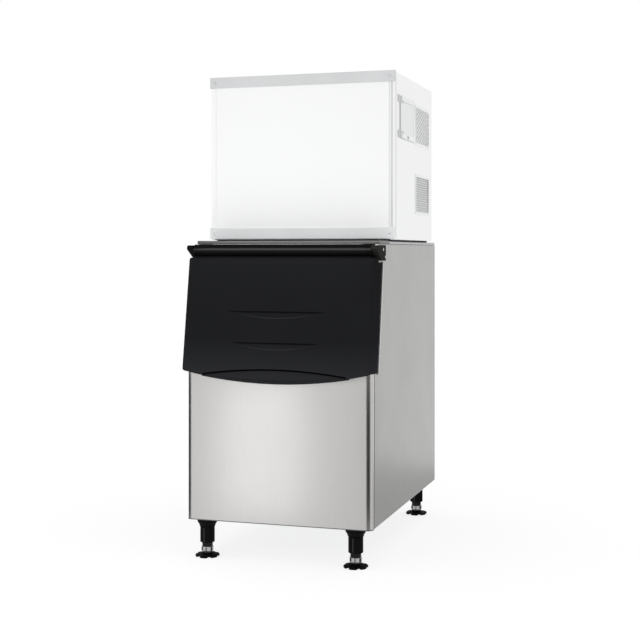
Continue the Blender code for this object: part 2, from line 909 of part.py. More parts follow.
def make_hinge_bracket(name, side):
    """A moulded block: a thick nose holds the pin and a thin tail is screwed to the bin's side."""
    low = hinge_z - bracket_drop
    high = hinge_z + bracket_rise
    nose = hinge_y - bracket_nose
    tail = nose + bracket_length
    r = bracket_tip_radius
    tip = arc((nose + r, high - r), r, 90, 210, 5)
    outline = [(tail, low), (tail, high)] + tip + [(hinge_y + bracket_heel, low)]
    inner = half_bin - barrel_end_gap + 0.001
    outer = inner + bracket_thickness
    obj = plate(name, [outline], bracket_thickness, "YZ", (side * (inner + outer) / 2, 0, 0))
    bevel(obj, 0.0015, 1)
    relief_y = slope_y(low) - bracket_relief
    flush = half_bin + gap
    past = 0.010
    ends = sorted((side * (inner - past), side * flush))
    relief_high = (ends[1], tail + past, high + past)
    relief = block(name + "_relief_cutter", (ends[0], relief_y, low - past), relief_high)
    boolean(obj, relief)
    pin_end = half_bin - barrel_end_gap + pin_length * (1 - pin_seat_share) + gap
    bore = rod(name + "_pin_cutter", pin_radius + gap, (side * (inner - past), hinge_y, hinge_z),
               (side * pin_end, hinge_y, hinge_z), 24)
    boolean(obj, bore)
    for index, (dy, dz) in enumerate(bracket_screws):
        hole = rod(name + "_screw_cutter_" + str(index), bracket_screw_radius,
                   (side * (flush - past), hinge_y + dy, hinge_z + dz),
                   (side * (outer + past), hinge_y + dy, hinge_z + dz), 8)
        boolean(obj, hole)
    return finish(obj, (0.055, 0.058, 0.052), 0.55)


# Legs


leg_steps = 18
stem_inside = 0.036
stem_foot_reach = 0.0042


def leg_places():
    x = half_bin - leg_inset_x
    front = front_y + leg_inset_front
    rear = back_y - leg_inset_rear
    return {
        "front_left": (-x, front),
        "front_right": (x, front),
        "rear_left": (-x, rear),
        "rear_right": (x, rear),
    }


def make_leg(name, x, y):
    top = floor_z - gap
    bottom = floor_z - leg_tube_height
    bore = stem_radius + stem_play
    profile = [
        (0.0, top),
        (leg_flange_radius, top),
        (leg_flange_radius, top - leg_flange_edge),
        (leg_radius + 0.001, top - leg_neck_height),
        (leg_radius, bottom + 0.001),
        (leg_radius - 0.001, bottom),
        (bore, bottom),
        (bore, top - 0.010),
        (0.0, top - 0.010),
    ]
    obj = turned(name, [(radius, z - bottom) for radius, z in profile], (x, y, bottom), leg_steps)
    return black_plastic(smooth(obj))


def make_leg_stem(name, x, y):
    """The chromed adjuster: a round stem inside the leg above a hexagon for the spanner."""
    hex_top = floor_z - leg_tube_height - hex_drop
    hex_bottom = hex_top - hex_height
    stem_top = hex_top + hex_drop + stem_inside
    hexagon = rod(name, hex_flats / 2 / math.cos(math.pi / 6), (x, y, hex_bottom), (x, y, hex_top), 6)
    bevel(hexagon, 0.0012, 1, 80)
    stem_low = (x, y, hex_bottom - stem_foot_reach)
    stem = rod(name + "_union", stem_radius, stem_low, (x, y, stem_top), leg_steps)
    boolean(hexagon, stem, "UNION")
    return chrome(hexagon)


def make_leg_foot(name, x, y):
    """The wide black pad with a scalloped rim, under the adjuster."""
    hex_bottom = floor_z - leg_tube_height - hex_drop - hex_height
    hub_top = hex_bottom - stem_foot_reach - gap
    count = 4 * foot_lobes
    rings = ((foot_radius - 0.001, 0.0, 1), (foot_radius, 0.002, 1), (foot_radius, 0.0065, 1),
             (stem_radius + 0.006, 0.010, 0), (stem_radius + 0.002, hub_top, 0))
    bm = bmesh.new()
    bmesh.ops.create_circle(bm, cap_ends=True, segments=count, radius=foot_radius)
    face = bm.faces[:][0]
    for index, (radius, height, scalloped) in enumerate(rings):
        if index:
            face = bmesh.ops.extrude_discrete_faces(bm, faces=[face])["faces"][0]
        for number, vert in enumerate(face.verts):
            angle = 2 * math.pi * number / count
            dent = foot_scallop * scalloped * max(0.0, math.cos(foot_lobes * angle))
            vert.co = ((radius - dent) * math.cos(angle), (radius - dent) * math.sin(angle), height)
    base = [edge for edge in bm.edges if edge.is_boundary]
    bmesh.ops.holes_fill(bm, edges=base)
    bmesh.ops.recalc_face_normals(bm, faces=bm.faces)
    obj = link_mesh(name, bm)
    obj.location = (x, y, 0)
    return black_plastic(obj)


# Ice maker head


def side_cutter(name, y, z, width, height):
    """A block through the right side panel, from a centre and two half sizes."""
    low = (half_head - fold, y - width, z - height)
    return block(name, low, (half_head + fold, y + width, z + height))


def make_head_side(name, side):
    low = head_base_z
    high = head_top_z - lid_edge - gap
    rear = head_back_y - sheet - gap
    outline = [(head_front_y, low), (rear, low), (rear, high), (head_front_y, high)]
    obj = pan(name, corners_yz(side * half_head, outline), (-side, 0, 0), fold)
    if side > 0:
        for index, (y, z) in enumerate(vent_places()):
            width = vent_width / 2 - vent_frame + 0.001
            height = vent_height / 2 - vent_frame + 0.001
            boolean(obj, side_cutter("vent_cutter_" + str(index), y, z, width, height))
        y, z = control_place()
        boolean(obj, side_cutter("control_cutter", y, z, control_width / 2, control_height / 2))
    return white_enamel(obj)


def make_head_base():
    half = half_head - sheet - fold - 2 * gap
    y0 = head_front_y + sheet + fold + 2 * gap
    y1 = head_back_y - 2 * sheet - fold - 3 * gap
    z = head_base_z
    outline = [(-half, y0, z), (half, y0, z), (half, y1, z), (-half, y1, z)]
    obj = pan("head_base", outline, (0, 0, 1), head_base_upstand, segments=1)
    x0, x1, low_y, high_y = chute_opening()
    boolean(obj, block("chute_cutter", (x0, low_y, z - fold), (x1, high_y, z + fold)))
    return galvanised(obj)


def rear_fittings():
    """Across places of the water inlet and the cord gland, and their height."""
    return wet_right_x() + water_offset, wet_right_x() + gland_offset, head_base_z + fitting_height


def make_head_back():
    low = head_base_z
    high = head_top_z - lid_edge - gap
    outline = rectangle(head_width, high - low, (0, (low + high) / 2), 0.004)
    slots = []
    step_x = head_width * exhaust_pitch_share
    step_z = head_height * exhaust_row_share
    for row in range(exhaust_rows):
        for column in range(exhaust_columns):
            centre = (machine_bay_x() + step_x * (column - exhaust_shift_share), high - step_z * (row + 1.75))
            width = step_x - exhaust_bridge
            height = step_z - exhaust_bridge
            slots.append(rectangle(width, height, centre, exhaust_radius, 1))
    water_x, gland_x, z = rear_fittings()
    water = arc((water_x, z), water_body_radius + 3 * gap, 0, 330, 11)
    gland = arc((gland_x, z), gland_body_radius + 3 * gap, 0, 330, 11)
    y = head_back_y - sheet / 2
    obj = plate("head_back", [outline] + slots + [water, gland], sheet, "XZ", (0, y, 0))
    return white_enamel(obj)


def make_head_top():
    y0 = head_front_y
    y1 = head_back_y
    z = head_top_z
    outline = [(-half_head, y0, z), (half_head, y0, z), (half_head, y1, z), (-half_head, y1, z)]
    return white_enamel(pan("head_top", outline, (0, 0, -1), lid_edge))


def make_head_front_panel():
    half = half_head - fold - sheet - 2 * gap
    y = head_front_y - gap
    low = head_base_z + sheet + 2 * gap
    high = head_top_z - lid_edge - 2 * sheet - 2 * gap
    outline = [(-half, y, low), (half, y, low), (half, y, high), (-half, y, high)]
    obj = pan("head_front_panel", outline, (0, 1, 0), fold, segments=1)
    return white_enamel(obj)


def make_trim(name, low_z):
    half = half_head + trim_overhang
    y = front_y + head_setback
    r = trim_radius
    left = arc((-half + r, y + r), r, 180, 270, 3)
    right = arc((half - r, y + r), r, 270, 360, 3)
    back = y + trim_wrap
    profile = [(-half, back)] + left + right + [(half, back)]
    obj = channel(name, profile, low_z, low_z + trim_height, trim_wall)
    return grey_plastic(bevel(obj, 0.0008, 1, 60))


def vent_places():
    """Centres of the upper and the lower air inlet on the right side."""
    y = head_back_y - vent_back_margin - vent_width / 2
    upper = head_top_z - vent_top_margin - vent_height / 2
    lower = head_base_z + vent_base_margin + vent_height / 2
    return ((y, upper), (y, lower))


def control_place():
    vent_front = head_back_y - vent_back_margin - vent_width
    y = vent_front - control_vent_gap - control_width / 2
    return (y, head_top_z - control_top_margin - control_height / 2)


def make_vent(name, place):
    """A frame with tilted slats that keep drips out."""
    y, z = place
    opening_width = vent_width - 2 * vent_frame
    opening_height = vent_height - 2 * vent_frame
    ring = plate(name, [rectangle(vent_width, vent_height, (0, 0), 0.004),
                        rectangle(opening_width, opening_height)],
                 vent_plate, "YZ", (half_head + gap + vent_plate / 2, y, z))
    bm = bmesh.new()
    pitch = opening_height / slat_count
    tilt = Matrix.Rotation(math.radians(slat_tilt), 3, "Y")
    for index in range(slat_count):
        slat = bmesh.ops.create_cube(bm, size=1.0)["verts"]
        bmesh.ops.scale(bm, vec=(slat_depth, opening_width + 0.001, slat_thickness), verts=slat)
        bmesh.ops.rotate(bm, cent=(0, 0, 0), matrix=tilt, verts=slat)
        bmesh.ops.translate(bm, vec=(0, 0, -opening_height / 2 + pitch * (index + 0.5)), verts=slat)
    slats = link_mesh(name + "_slats_union", bm)
    slats.location = (half_head - vent_plate, y, z)
    boolean(ring, slats, "UNION")
    return finish(ring, (0.36, 0.37, 0.38), 0.5)


def make_control_bezel():
    """A moulded pocket set in the side panel for the switch, behind the hinged cover."""
    y, z = control_place()
    depth = bezel_depth
    width = control_width - 2 * gap
    height = control_height - 2 * gap
    wall = bezel_wall
    low = Vector((half_head - depth, y - width / 2, z - height / 2))
    high = Vector((half_head + bezel_lip, y + width / 2, z + height / 2))
    body = block("control_bezel", low, high)
    inner_low = low + Vector((wall, wall, wall))
    inner = block("bezel_pocket_cutter", inner_low, high + Vector((depth, -wall, -wall)))
    bevel(inner, bezel_radius, 1)
    boolean(body, inner)
    return grey_plastic(body)


def cover_axis():
    y, z = control_place()
    edge = y - control_width / 2 + bezel_wall
    return Vector((half_head - cover_axis_inset, edge + cover_knuckle_radius + cover_play, z))


def make_cover_hinge_bar():
    """The black bar at the cover's front edge, thick at both ends where it turns in the pocket."""
    y, z = control_place()
    half = control_height / 2 - bezel_wall - cover_play
    big = cover_knuckle_radius
    small = cover_bar_radius
    edge = 0.002
    upper = [(0.0, half), (big - edge, half), (big, half - edge), (big, half - 0.016), (small, half - 0.024)]
    lower = [(radius, -height) for radius, height in reversed(upper)]
    return black_plastic(smooth(turned("cover_hinge_bar", upper + lower, cover_axis(), 16)))


def cover_size():
    axis = cover_axis()
    y, z = control_place()
    low = axis.y + cover_knuckle_radius + gap
    high = y + control_width / 2 - bezel_wall - cover_play
    half = control_height / 2 - bezel_wall - cover_play
    return low, high, half


def make_control_cover():
    """The lid's frame, with a sunk seat for its pane."""
    axis = cover_axis()
    low, high, half = cover_size()
    rail = cover_rail
    thickness = cover_thickness
    middle = ((low + high) / 2 - axis.y, 0.0)
    outer = rectangle(high - low, 2 * half, middle, 0.004)
    inner = rectangle(high - low - 2 * rail, 2 * half - 2 * rail, middle, 0.003)
    obj = plate("control_cover", [outer, inner], thickness, "YZ", axis + Vector((cover_lift, 0, 0)))
    bevel(obj, 0.0008, 1)
    return grey_plastic(pivot_at(obj, axis))


def make_cover_window():
    axis = cover_axis()
    low, high, half = cover_size()
    rail = cover_rail + gap
    middle = ((low + high) / 2 - axis.y, 0.0)
    outline = rectangle(high - low - 2 * rail, 2 * half - 2 * rail, middle, 0.003)
    obj = plate("cover_window", [outline], 0.0022, "YZ", axis + Vector((cover_lift, 0, 0)))
    return finish(pivot_at(obj, axis), (0.32, 0.33, 0.34), 0.3)


def make_control_plate():
    y, z = control_place()
    inner = half_head - bezel_depth + bezel_wall + gap
    border = 2 * control_plate_border
    outline = rectangle(control_width - border, control_height - border, (0, 0), 0.004)
    slot_width = 2 * (switch_half_length + 2 * gap)
    slot_height = 2 * (switch_half_width + 2 * gap + 0.0002)
    slot = rectangle(slot_width, slot_height, (switch_offset, 0), 0.001, 1)
    x = inner + control_plate_thickness / 2
    obj = plate("control_plate", [outline, slot], control_plate_thickness, "YZ", (x, y, z))
    return finish(obj, (0.70, 0.71, 0.72), 0.4)


def switch_axis():
    y, z = control_place()
    x = half_head - bezel_depth + bezel_wall + gap + control_plate_thickness + switch_reach
    return Vector((x, y + switch_offset, z))


def make_power_switch():
    """A rocker with a shallow vee face, turning about a crosswise axis in the plate's slot."""
    half = switch_half_width
    bottom = -0.0026
    side = half - 0.0004
    below = [(-side, bottom + 0.0012), (-half / 2, bottom), (half / 2, bottom), (side, bottom + 0.0012)]
    outline = below + [(half, 0.0052), (0.0, 0.0030), (-half, 0.0052)]
    obj = plate("power_switch", [outline], 2 * switch_half_length, "XY", (0, 0, 0))
    bevel(obj, 0.0005, 1)
    place = Matrix.Translation(switch_axis())
    obj.matrix_world = place @ Matrix.Rotation(math.pi / 2, 4, "Y") @ Matrix.Rotation(math.pi / 2, 4, "X")
    return black_plastic(obj)


# Inside the head


def wet_left_x():
    return -half_head + sheet + fold + wet_side_clearance


def wet_right_x():
    return -half_head + head_width * wet_bay_share


def machine_bay_x():
    return (wet_right_x() + half_head) / 2


def wet_inner():
    """Inner faces of the freezing compartment's side walls."""
    return wet_left_x() + wet_wall, wet_right_x() - wet_wall


def chute_opening():
    left, right = wet_inner()
    start = head_front_y + chute_front_inset
    return left + chute_side_inset, right - chute_side_inset, start, start + chute_depth


def wet_floor_z():
    return head_base_z + sheet + gap


def make_freezing_compartment():
    """A moulded box, open at the front and the top, with the drop opening in its floor."""
    y0 = head_front_y + wet_front_inset
    y1 = y0 + head_depth * wet_depth_share
    low = wet_floor_z()
    high = head_top_z - lid_edge - wet_top_clearance
    x0 = wet_left_x()
    x1 = wet_right_x()
    bm = bmesh.new()
    bmesh.ops.create_cube(bm, size=1.0)
    bmesh.ops.scale(bm, vec=(x1 - x0, y1 - y0, high - low), verts=bm.verts)
    bmesh.ops.translate(bm, vec=((x1 + x0) / 2, (y1 + y0) / 2, (high + low) / 2), verts=bm.verts)
    lost = [face for face in bm.faces if face.normal.z > 0.9 or face.normal.y < -0.9]
    bmesh.ops.delete(bm, geom=lost, context="FACES_ONLY")
    obj = solidify(link_mesh("freezing_compartment", bm), wet_wall)
    cx0, cx1, cy0, cy1 = chute_opening()
    boolean(obj, block("compartment_chute_cutter", (cx0, cy0, low - fold), (cx1, cy1, low + fold)))
    return white_plastic(obj)


evaporator_cells_wide = 8
evaporator_cells_high = 6
evaporator_depth = 0.016


def evaporator_place():
    """Lower left front corner, width and height of the evaporator plate."""
    left, right = wet_inner()
    height = head_height * evaporator_height_share
    y = head_front_y + evaporator_setback
    return left + gap, y, head_base_z + evaporator_lift, right - left - 2 * gap, height


def make_evaporator():
    """The freezing plate: a waffle of pockets in which the cubes form."""
    x, y, z, width, height = evaporator_place()
    bm = bmesh.new()
    bmesh.ops.create_grid(bm, x_segments=evaporator_cells_wide, y_segments=evaporator_cells_high, size=0.5)
    bmesh.ops.scale(bm, vec=(width, height, 1), verts=bm.verts)
    cells = bm.faces[:]
    bmesh.ops.inset_individual(bm, faces=cells, thickness=evaporator_rib, depth=0.0)
    pockets = bmesh.ops.extrude_discrete_faces(bm, faces=cells)["faces"]
    for face in pockets:
        bmesh.ops.translate(bm, vec=(0, 0, -evaporator_depth + evaporator_back), verts=face.verts)
    walls = bmesh.ops.extrude_edge_only(bm, edges=[edge for edge in bm.edges if edge.is_boundary])
    skirt = [item for item in walls["geom"] if isinstance(item, bmesh.types.BMVert)]
    bmesh.ops.translate(bm, vec=(0, 0, -evaporator_depth), verts=skirt)
    bmesh.ops.holes_fill(bm, edges=[edge for edge in bm.edges if edge.is_boundary])
    bmesh.ops.remove_doubles(bm, verts=bm.verts, dist=0.000001)
    bmesh.ops.recalc_face_normals(bm, faces=bm.faces)
    obj = link_mesh("evaporator", bm)
    obj.rotation_euler = (math.pi / 2, 0, 0)
    obj.location = (x + width / 2, y, z + height / 2)
    return finish(obj, (0.72, 0.72, 0.73), 0.25, 1.0)


def make_water_distributor():
    left, right = wet_inner()
    x, y, z, width, height = evaporator_place()
    centre_z = z + height + distributor_radius + evaporator_back
    centre_y = y + evaporator_depth / 2 - evaporator_rib
    ends = (left + gap, centre_y, centre_z), (right - gap, centre_y, centre_z)
    obj = rod("water_distributor", distributor_radius, *ends, 20)
    return white_plastic(smooth(obj))


def curtain_axis():
    x, y, z, width, height = evaporator_place()
    return Vector((x + width / 2, y - curtain_forward, z + height + curtain_above))


def make_water_curtain():
    """The hinged curtain that the falling cubes push forward."""
    left, right = wet_inner()
    axis = curtain_axis()
    length = right - left - 4 * gap
    x, y, z, width, height = evaporator_place()
    drop = curtain_above + height + curtain_below
    half = length / 2 - curtain_above
    thick = curtain_thickness / 2
    obj = rod("water_curtain", curtain_pin_radius, (-length / 2, 0, 0), (length / 2, 0, 0), 16)
    sheet_part = block("curtain_sheet_union", (-half, -thick, -drop), (half, thick, 0.0))
    obj.location = axis
    sheet_part.location = sheet_part.location + axis
    boolean(obj, sheet_part, "UNION")
    return white_plastic(obj)


def trough_box():
    left, right = wet_inner()
    x, y, z, width, height = evaporator_place()
    low = z - trough_drop
    start = y - trough_front
    return (left + 2 * gap, start, low), (right - 2 * gap, start + trough_depth, low + trough_height)


def make_water_trough():
    low, high = trough_box()
    x0, y0, z = low
    x1, y1, top = high
    outline = [(x0, y0, z), (x1, y0, z), (x1, y1, z), (x0, y1, z)]
    return white_plastic(pan("water_trough", outline, (0, 0, 1), top - z, trough_wall, 3 * trough_wall, 1))


def make_water_pump():
    low, high = trough_box()
    x = low[0] + pump_inset_x
    y = high[1] - pump_inset_y
    base = low[2] + trough_wall + gap
    r = pump_radius
    h = pump_height
    motor = [(0.0, h), (0.77 * r, h), (r, 0.95 * h), (r, 0.59 * h)]
    neck = [(0.38 * r, 0.55 * h), (0.38 * r, 0.23 * h)]
    strainer = [(0.92 * r, 0.20 * h), (0.92 * r, 0.0), (0.0, 0.0)]
    obj = turned("water_pump", motor + neck + strainer, (x, y, base), 16)
    return black_plastic(smooth(obj))


def make_compressor():
    """The hermetic pot on its mounting foot, with the terminal cover on its side."""
    x = machine_bay_x()
    y = head_front_y + compressor_setback
    base = head_base_z + sheet + gap
    r = compressor_radius
    h = compressor_height
    dome = [(0.0, h), (0.37 * r, 0.985 * h), (0.76 * r, 0.92 * h), (0.95 * r, 0.80 * h), (r, 0.68 * h)]
    seam = [(r, 0.53 * h), (1.05 * r, 0.52 * h), (1.05 * r, 0.49 * h), (r, 0.48 * h)]
    bowl = [(0.98 * r, 0.29 * h), (0.85 * r, 0.17 * h), (0.60 * r, 0.11 * h), (0.0, 0.10 * h)]
    obj = turned("compressor", dome + seam + bowl, (x, y, base), 18)
    foot_x = compressor_foot_half_x
    foot_y = compressor_foot_half_y
    foot_high = (x + foot_x, y + foot_y, base + 0.13 * h)
    foot = block("compressor_foot_union", (x - foot_x, y - foot_y, base), foot_high)
    bevel(foot, 0.006, 1)
    box_x = 0.37 * r
    box_low = (x - box_x, y - 1.2 * r, base + 0.34 * h)
    box = block("compressor_terminal_union", box_low, (x + box_x, y - 0.73 * r, base + 0.63 * h))
    bevel(box, 0.004, 1)
    boolean(obj, foot, "UNION")
    boolean(obj, box, "UNION")
    return finish(smooth(obj), (0.03, 0.03, 0.032), 0.45)


def condenser_box():
    y = vent_places()[0][0]
    low_z = head_base_z + condenser_lift
    high_z = floor_z + condenser_high_height
    outer = half_head - sheet - fold - condenser_clearance
    half = condenser_half_width
    return (outer - condenser_thickness, y - half, low_z), (outer, y + half, high_z)


def make_condenser():
    """The finned coil block behind the air inlets: upright fins stand out on both faces."""
    low, high = condenser_box()
    pitch = fin_pitch
    fin = fin_half
    core = condenser_core
    count = int((high[1] - low[1]) / pitch)
    start = low[1] + 0.5 * ((high[1] - low[1]) - count * pitch)
    right = []
    left = []
    for index in range(count):
        y = start + pitch * (index + 0.5)
        y0 = y - fin
        y1 = y + fin
        right += [(y0, high[0] - core), (y0, high[0]), (y1, high[0]), (y1, high[0] - core)]
        left += [(y0, low[0] + core), (y0, low[0]), (y1, low[0]), (y1, low[0] + core)]
    outline = [(low[1], high[0] - core)] + right + [(high[1], high[0] - core), (high[1], low[0] + core)]
    outline += list(reversed(left)) + [(low[1], low[0] + core)]
    points = [(x, y) for y, x in outline]
    height = high[2] - low[2]
    obj = plate("condenser", [points], height, "XY", (0, 0, (low[2] + high[2]) / 2))
    return finish(obj, (0.62, 0.62, 0.63), 0.35, 1.0)


def fan_axis():
    low, high = condenser_box()
    return Vector((low[0] - fan_standoff, (low[1] + high[1]) / 2, (low[2] + high[2]) / 2))


def make_fan_shroud():
    """A plate on the coil's inner face with a rolled ring round the fan."""
    low, high = condenser_box()
    axis = fan_axis()
    ring_inner = fan_radius + fan_tip_gap
    foot_z = head_base_z + sheet + gap
    middle_z = (high[2] + foot_z) / 2 - axis.z
    outline = rectangle(high[1] - low[1], high[2] - foot_z, (0, middle_z), 0.004)
    hole = arc((0, 0), ring_inner, 0, 342, 19)
    x = low[0] - gap - shroud_thickness / 2
    obj = plate("fan_shroud", [outline, hole], shroud_thickness, "YZ", (x, axis.y, axis.z))
    rim = arc((0, 0), ring_inner + shroud_thickness, 0, 342, 19)
    ring_x = x - (shroud_ring_depth - shroud_thickness / 2) / 2
    ring = plate("shroud_ring_union", [rim, hole], shroud_ring_depth, "YZ", (ring_x, axis.y, axis.z))
    boolean(obj, ring, "UNION")
    return galvanised(obj)


def make_fan_motor():
    """The motor on three arms that reach the shroud."""
    low, high = condenser_box()
    axis = fan_axis()
    shroud_x = low[0] - 2 * gap - shroud_thickness
    front = axis.x - motor_standoff
    body = rod("fan_motor", motor_radius, (front, axis.y, axis.z), (front - motor_length, axis.y, axis.z), 24)
    reach = fan_radius + fan_tip_gap + motor_arm_half
    arm_back = front - motor_arm_half
    for index, side in enumerate((-1, 1)):
        spans = sorted((axis.y + side * (motor_radius - motor_arm_half), axis.y + side * reach))
        arm = block("motor_arm_union_" + str(index), (arm_back, spans[0], axis.z - motor_arm_half),
                    (arm_back + motor_arm_thickness, spans[1], axis.z + motor_arm_half))
        boolean(body, arm, "UNION")
        middle = axis.y + side * reach
        ends = (middle - motor_arm_thickness / 2, middle + motor_arm_thickness / 2)
        leg = block("motor_leg_union_" + str(index), (arm_back, ends[0], axis.z - motor_arm_half),
                    (shroud_x, ends[1], axis.z + motor_arm_half))
        boolean(body, leg, "UNION")
    shaft_end = axis.x + fan_hub_half + motor_arm_thickness
    shaft_start = (front - 0.005, axis.y, axis.z)
    shaft = rod("motor_shaft_union", shaft_radius, shaft_start, (shaft_end, axis.y, axis.z), 24)
    boolean(body, shaft, "UNION")
    return finish(body, (0.05, 0.05, 0.055), 0.4)


def make_fan_blade():
    """A bored hub with five twisted blades."""
    axis = fan_axis()
    bore = shaft_radius + shaft_running_gap
    hub = fan_hub_radius
    half = fan_hub_half
    outer = [(bore, half), (hub - 0.001, half), (hub, half - 0.001), (hub, -half)]
    profile = outer + [(bore, -half), (bore, half)]
    obj = turned("fan_blade", profile, axis, 20, "X")
    bm = bmesh.new()
    for blade in range(5):
        made = bmesh.ops.create_grid(bm, x_segments=3, y_segments=1, size=0.5)["verts"]
        for vert in made:
            span = vert.co.x + 0.5
            chord = vert.co.y
            radius = hub - 0.003 + (fan_radius - hub + 0.003) * span
            width = fan_radius * (0.37 + 0.33 * span)
            pitch_angle = math.radians(48 - 20 * span)
            along = chord * width
            camber = blade_camber * (1 - 4 * chord * chord)
            height = along * math.sin(pitch_angle) * blade_flatness_share + camber
            sweep = along * math.cos(pitch_angle)
            angle = sweep / max(radius, hub) + 2 * math.pi * blade / 5
            vert.co = (radius * math.cos(angle), radius * math.sin(angle), height)
    blades = solidify(link_mesh("fan_blades_union", bm), blade_thickness)
    blades.location = axis
    blades.rotation_euler = (0, math.pi / 2, 0)
    boolean(obj, blades, "UNION")
    return finish(obj, (0.10, 0.10, 0.11), 0.4)


def make_control_box():
    """The closed electrical box behind the switch pocket."""
    y, z = control_place()
    outer = half_head - bezel_depth - gap
    half_y = control_width / 2 - control_box_side_inset
    half_z = control_height / 2 - control_box_top_inset
    low = (outer - control_box_depth, y - half_y, z - half_z)
    obj = block("control_box", low, (outer, y + half_y, z + half_z))
    return galvanised(bevel(obj, 0.003, 1))


def make_water_inlet():
    """The male spout for the supply hose, with a hexagon-like collar on the rear panel."""
    x, gland_x, z = rear_fittings()
    body = water_body_radius
    spout = body - 0.001
    collar = body + 0.003
    reach = water_inlet_reach
    outer = [(0.0, reach), (spout - 0.0015, reach), (spout, reach - 0.0015), (spout, 0.008), (collar, 0.008)]
    inner = [(collar, gap), (body, gap), (body, -0.010), (0.0, -0.010)]
    obj = turned("water_inlet", outer + inner, (x, head_back_y, z), 16)
    obj.rotation_euler = (-math.pi / 2, 0, 0)
    return finish(smooth(obj), (0.70, 0.52, 0.26), 0.35, 1.0)


def make_cord_gland():
    water_x, x, z = rear_fittings()
    body = gland_body_radius
    collar = body + 0.0025
    outer = [(0.0, 0.010), (collar - 0.002, 0.010), (collar, 0.008), (collar, gap)]
    obj = turned("cord_gland", outer + [(body, gap), (body, -0.010), (0.0, -0.010)], (x, head_back_y, z), 16)
    obj.rotation_euler = (-math.pi / 2, 0, 0)
    return black_plastic(smooth(obj))


def make_storage_bin():
    make_bin_side("bin_side_left", -1)
    make_bin_side("bin_side_right", 1)
    make_bin_back()
    make_bin_front_panel()
    make_bin_base()
    make_bin_front_shelf()
    make_bin_deck()
    make_bin_liner()
    make_throat_frame()
    make_bin_insulation()
    make_drain_fitting()
    make_head_gasket()


def make_door():
    make_door_shell()
    make_door_liner()
    for side, word in ((-1, "left"), (1, "right")):
        make_hinge_pin("hinge_pin_" + word, side)
        make_hinge_bracket("hinge_bracket_" + word, side)


def make_legs():
    for word, (x, y) in leg_places().items():
        make_leg("leg_" + word, x, y)
        make_leg_stem("stem_" + word, x, y)
        make_leg_foot("foot_" + word, x, y)


def make_head():
    make_head_side("head_side_left", -1)
    make_head_side("head_side_right", 1)
    make_head_base()
    make_head_back()
    make_head_top()
    make_head_front_panel()
    make_trim("trim_bottom", head_base_z + trim_rise)
    make_trim("trim_top", head_top_z - trim_height)
    for name, place in zip(("vent_upper", "vent_lower"), vent_places()):
        make_vent(name, place)
    make_control_bezel()
    make_cover_hinge_bar()
    make_control_cover()
    make_cover_window()
    make_control_plate()
    make_power_switch()
    make_water_inlet()
    make_cord_gland()


def make_works():
    make_freezing_compartment()
    make_evaporator()
    make_water_distributor()
    make_water_curtain()
    make_water_trough()
    make_water_pump()
    make_compressor()
    make_condenser()
    make_fan_shroud()
    make_fan_motor()
    make_fan_blade()
    make_control_box()


def main():
    global parts, cutters
    for obj in list(bpy.data.objects):
        bpy.data.objects.remove(obj)
    parts = new_collection("ice_machine")
    cutters = new_collection("cutters")
    make_storage_bin()
    make_door()
    make_legs()
    make_head()
    make_works()


main()
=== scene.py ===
# %% [markdown]
# # An ice machine, dressed for the camera
#
# The solid model of the machine is already packed as a fixed frame: an ice maker head on an
# insulated bin with four legs. This notebook gives it the surfaces, edges and small fittings
# that a photograph shows. Nothing of the frame is moved. A piece that is finer than its solid
# stands for that solid, and rides on the same moving part.

# %% Load the frame
import json
import math

import bmesh
import bpy
from mathutils import Matrix, Vector


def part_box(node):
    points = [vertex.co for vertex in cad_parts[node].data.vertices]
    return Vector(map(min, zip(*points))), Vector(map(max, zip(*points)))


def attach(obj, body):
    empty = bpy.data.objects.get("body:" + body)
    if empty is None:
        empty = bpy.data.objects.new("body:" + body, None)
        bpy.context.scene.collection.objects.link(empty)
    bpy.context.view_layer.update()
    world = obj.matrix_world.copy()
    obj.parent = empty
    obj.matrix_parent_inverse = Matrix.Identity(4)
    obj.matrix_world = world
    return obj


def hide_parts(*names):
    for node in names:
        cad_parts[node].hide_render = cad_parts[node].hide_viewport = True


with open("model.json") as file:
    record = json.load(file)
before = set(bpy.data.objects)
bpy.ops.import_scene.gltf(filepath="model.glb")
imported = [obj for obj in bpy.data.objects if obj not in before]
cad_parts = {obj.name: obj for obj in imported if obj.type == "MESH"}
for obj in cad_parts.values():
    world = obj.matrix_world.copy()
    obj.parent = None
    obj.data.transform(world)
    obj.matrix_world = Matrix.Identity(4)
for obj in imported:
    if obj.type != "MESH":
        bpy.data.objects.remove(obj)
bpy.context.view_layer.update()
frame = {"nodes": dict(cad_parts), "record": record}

nodes = frame["nodes"]
record = frame["record"]
print("nodes:", len(nodes))

# %% [markdown]
# ## The camera
#
# The photograph was taken from the machine's front right, about 17 degrees off straight on, with
# the camera level. A level camera with a vertical shift keeps the upright edges upright, as a
# photographer of catering equipment does it, where a tilted one would make them lean.

# %% The camera stands level and is shifted
scene = bpy.context.scene
bin_front_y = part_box("bin_front_panel")[0][1]

lens = bpy.data.cameras.new("photo_camera")
lens.lens = 70.36
lens.sensor_width = 36.0
lens.shift_y = -0.1061
lens.dof.use_dof = False
camera = bpy.data.objects.new("photo_camera", lens)
camera.location = (1.1825, bin_front_y - 3.3716, 0.8896)
camera.rotation_euler = (math.pi / 2, 0, 0.303)
scene.collection.objects.link(camera)
scene.camera = camera
scene.view_settings.view_transform = "Standard"
print("camera at", [round(value, 3) for value in camera.location])

# %% [markdown]
# ## The studio
#
# Catalogue pictures of white and steel goods are taken on a white sweep with large soft lamps.
# Here the world does most of that: to the camera, and to rays that leave metal, it is plain
# white, and to the rays that carry soft light it is a little weaker, so that two area lamps
# can still model the form. The floor is white too, and keeps a faint shadow.

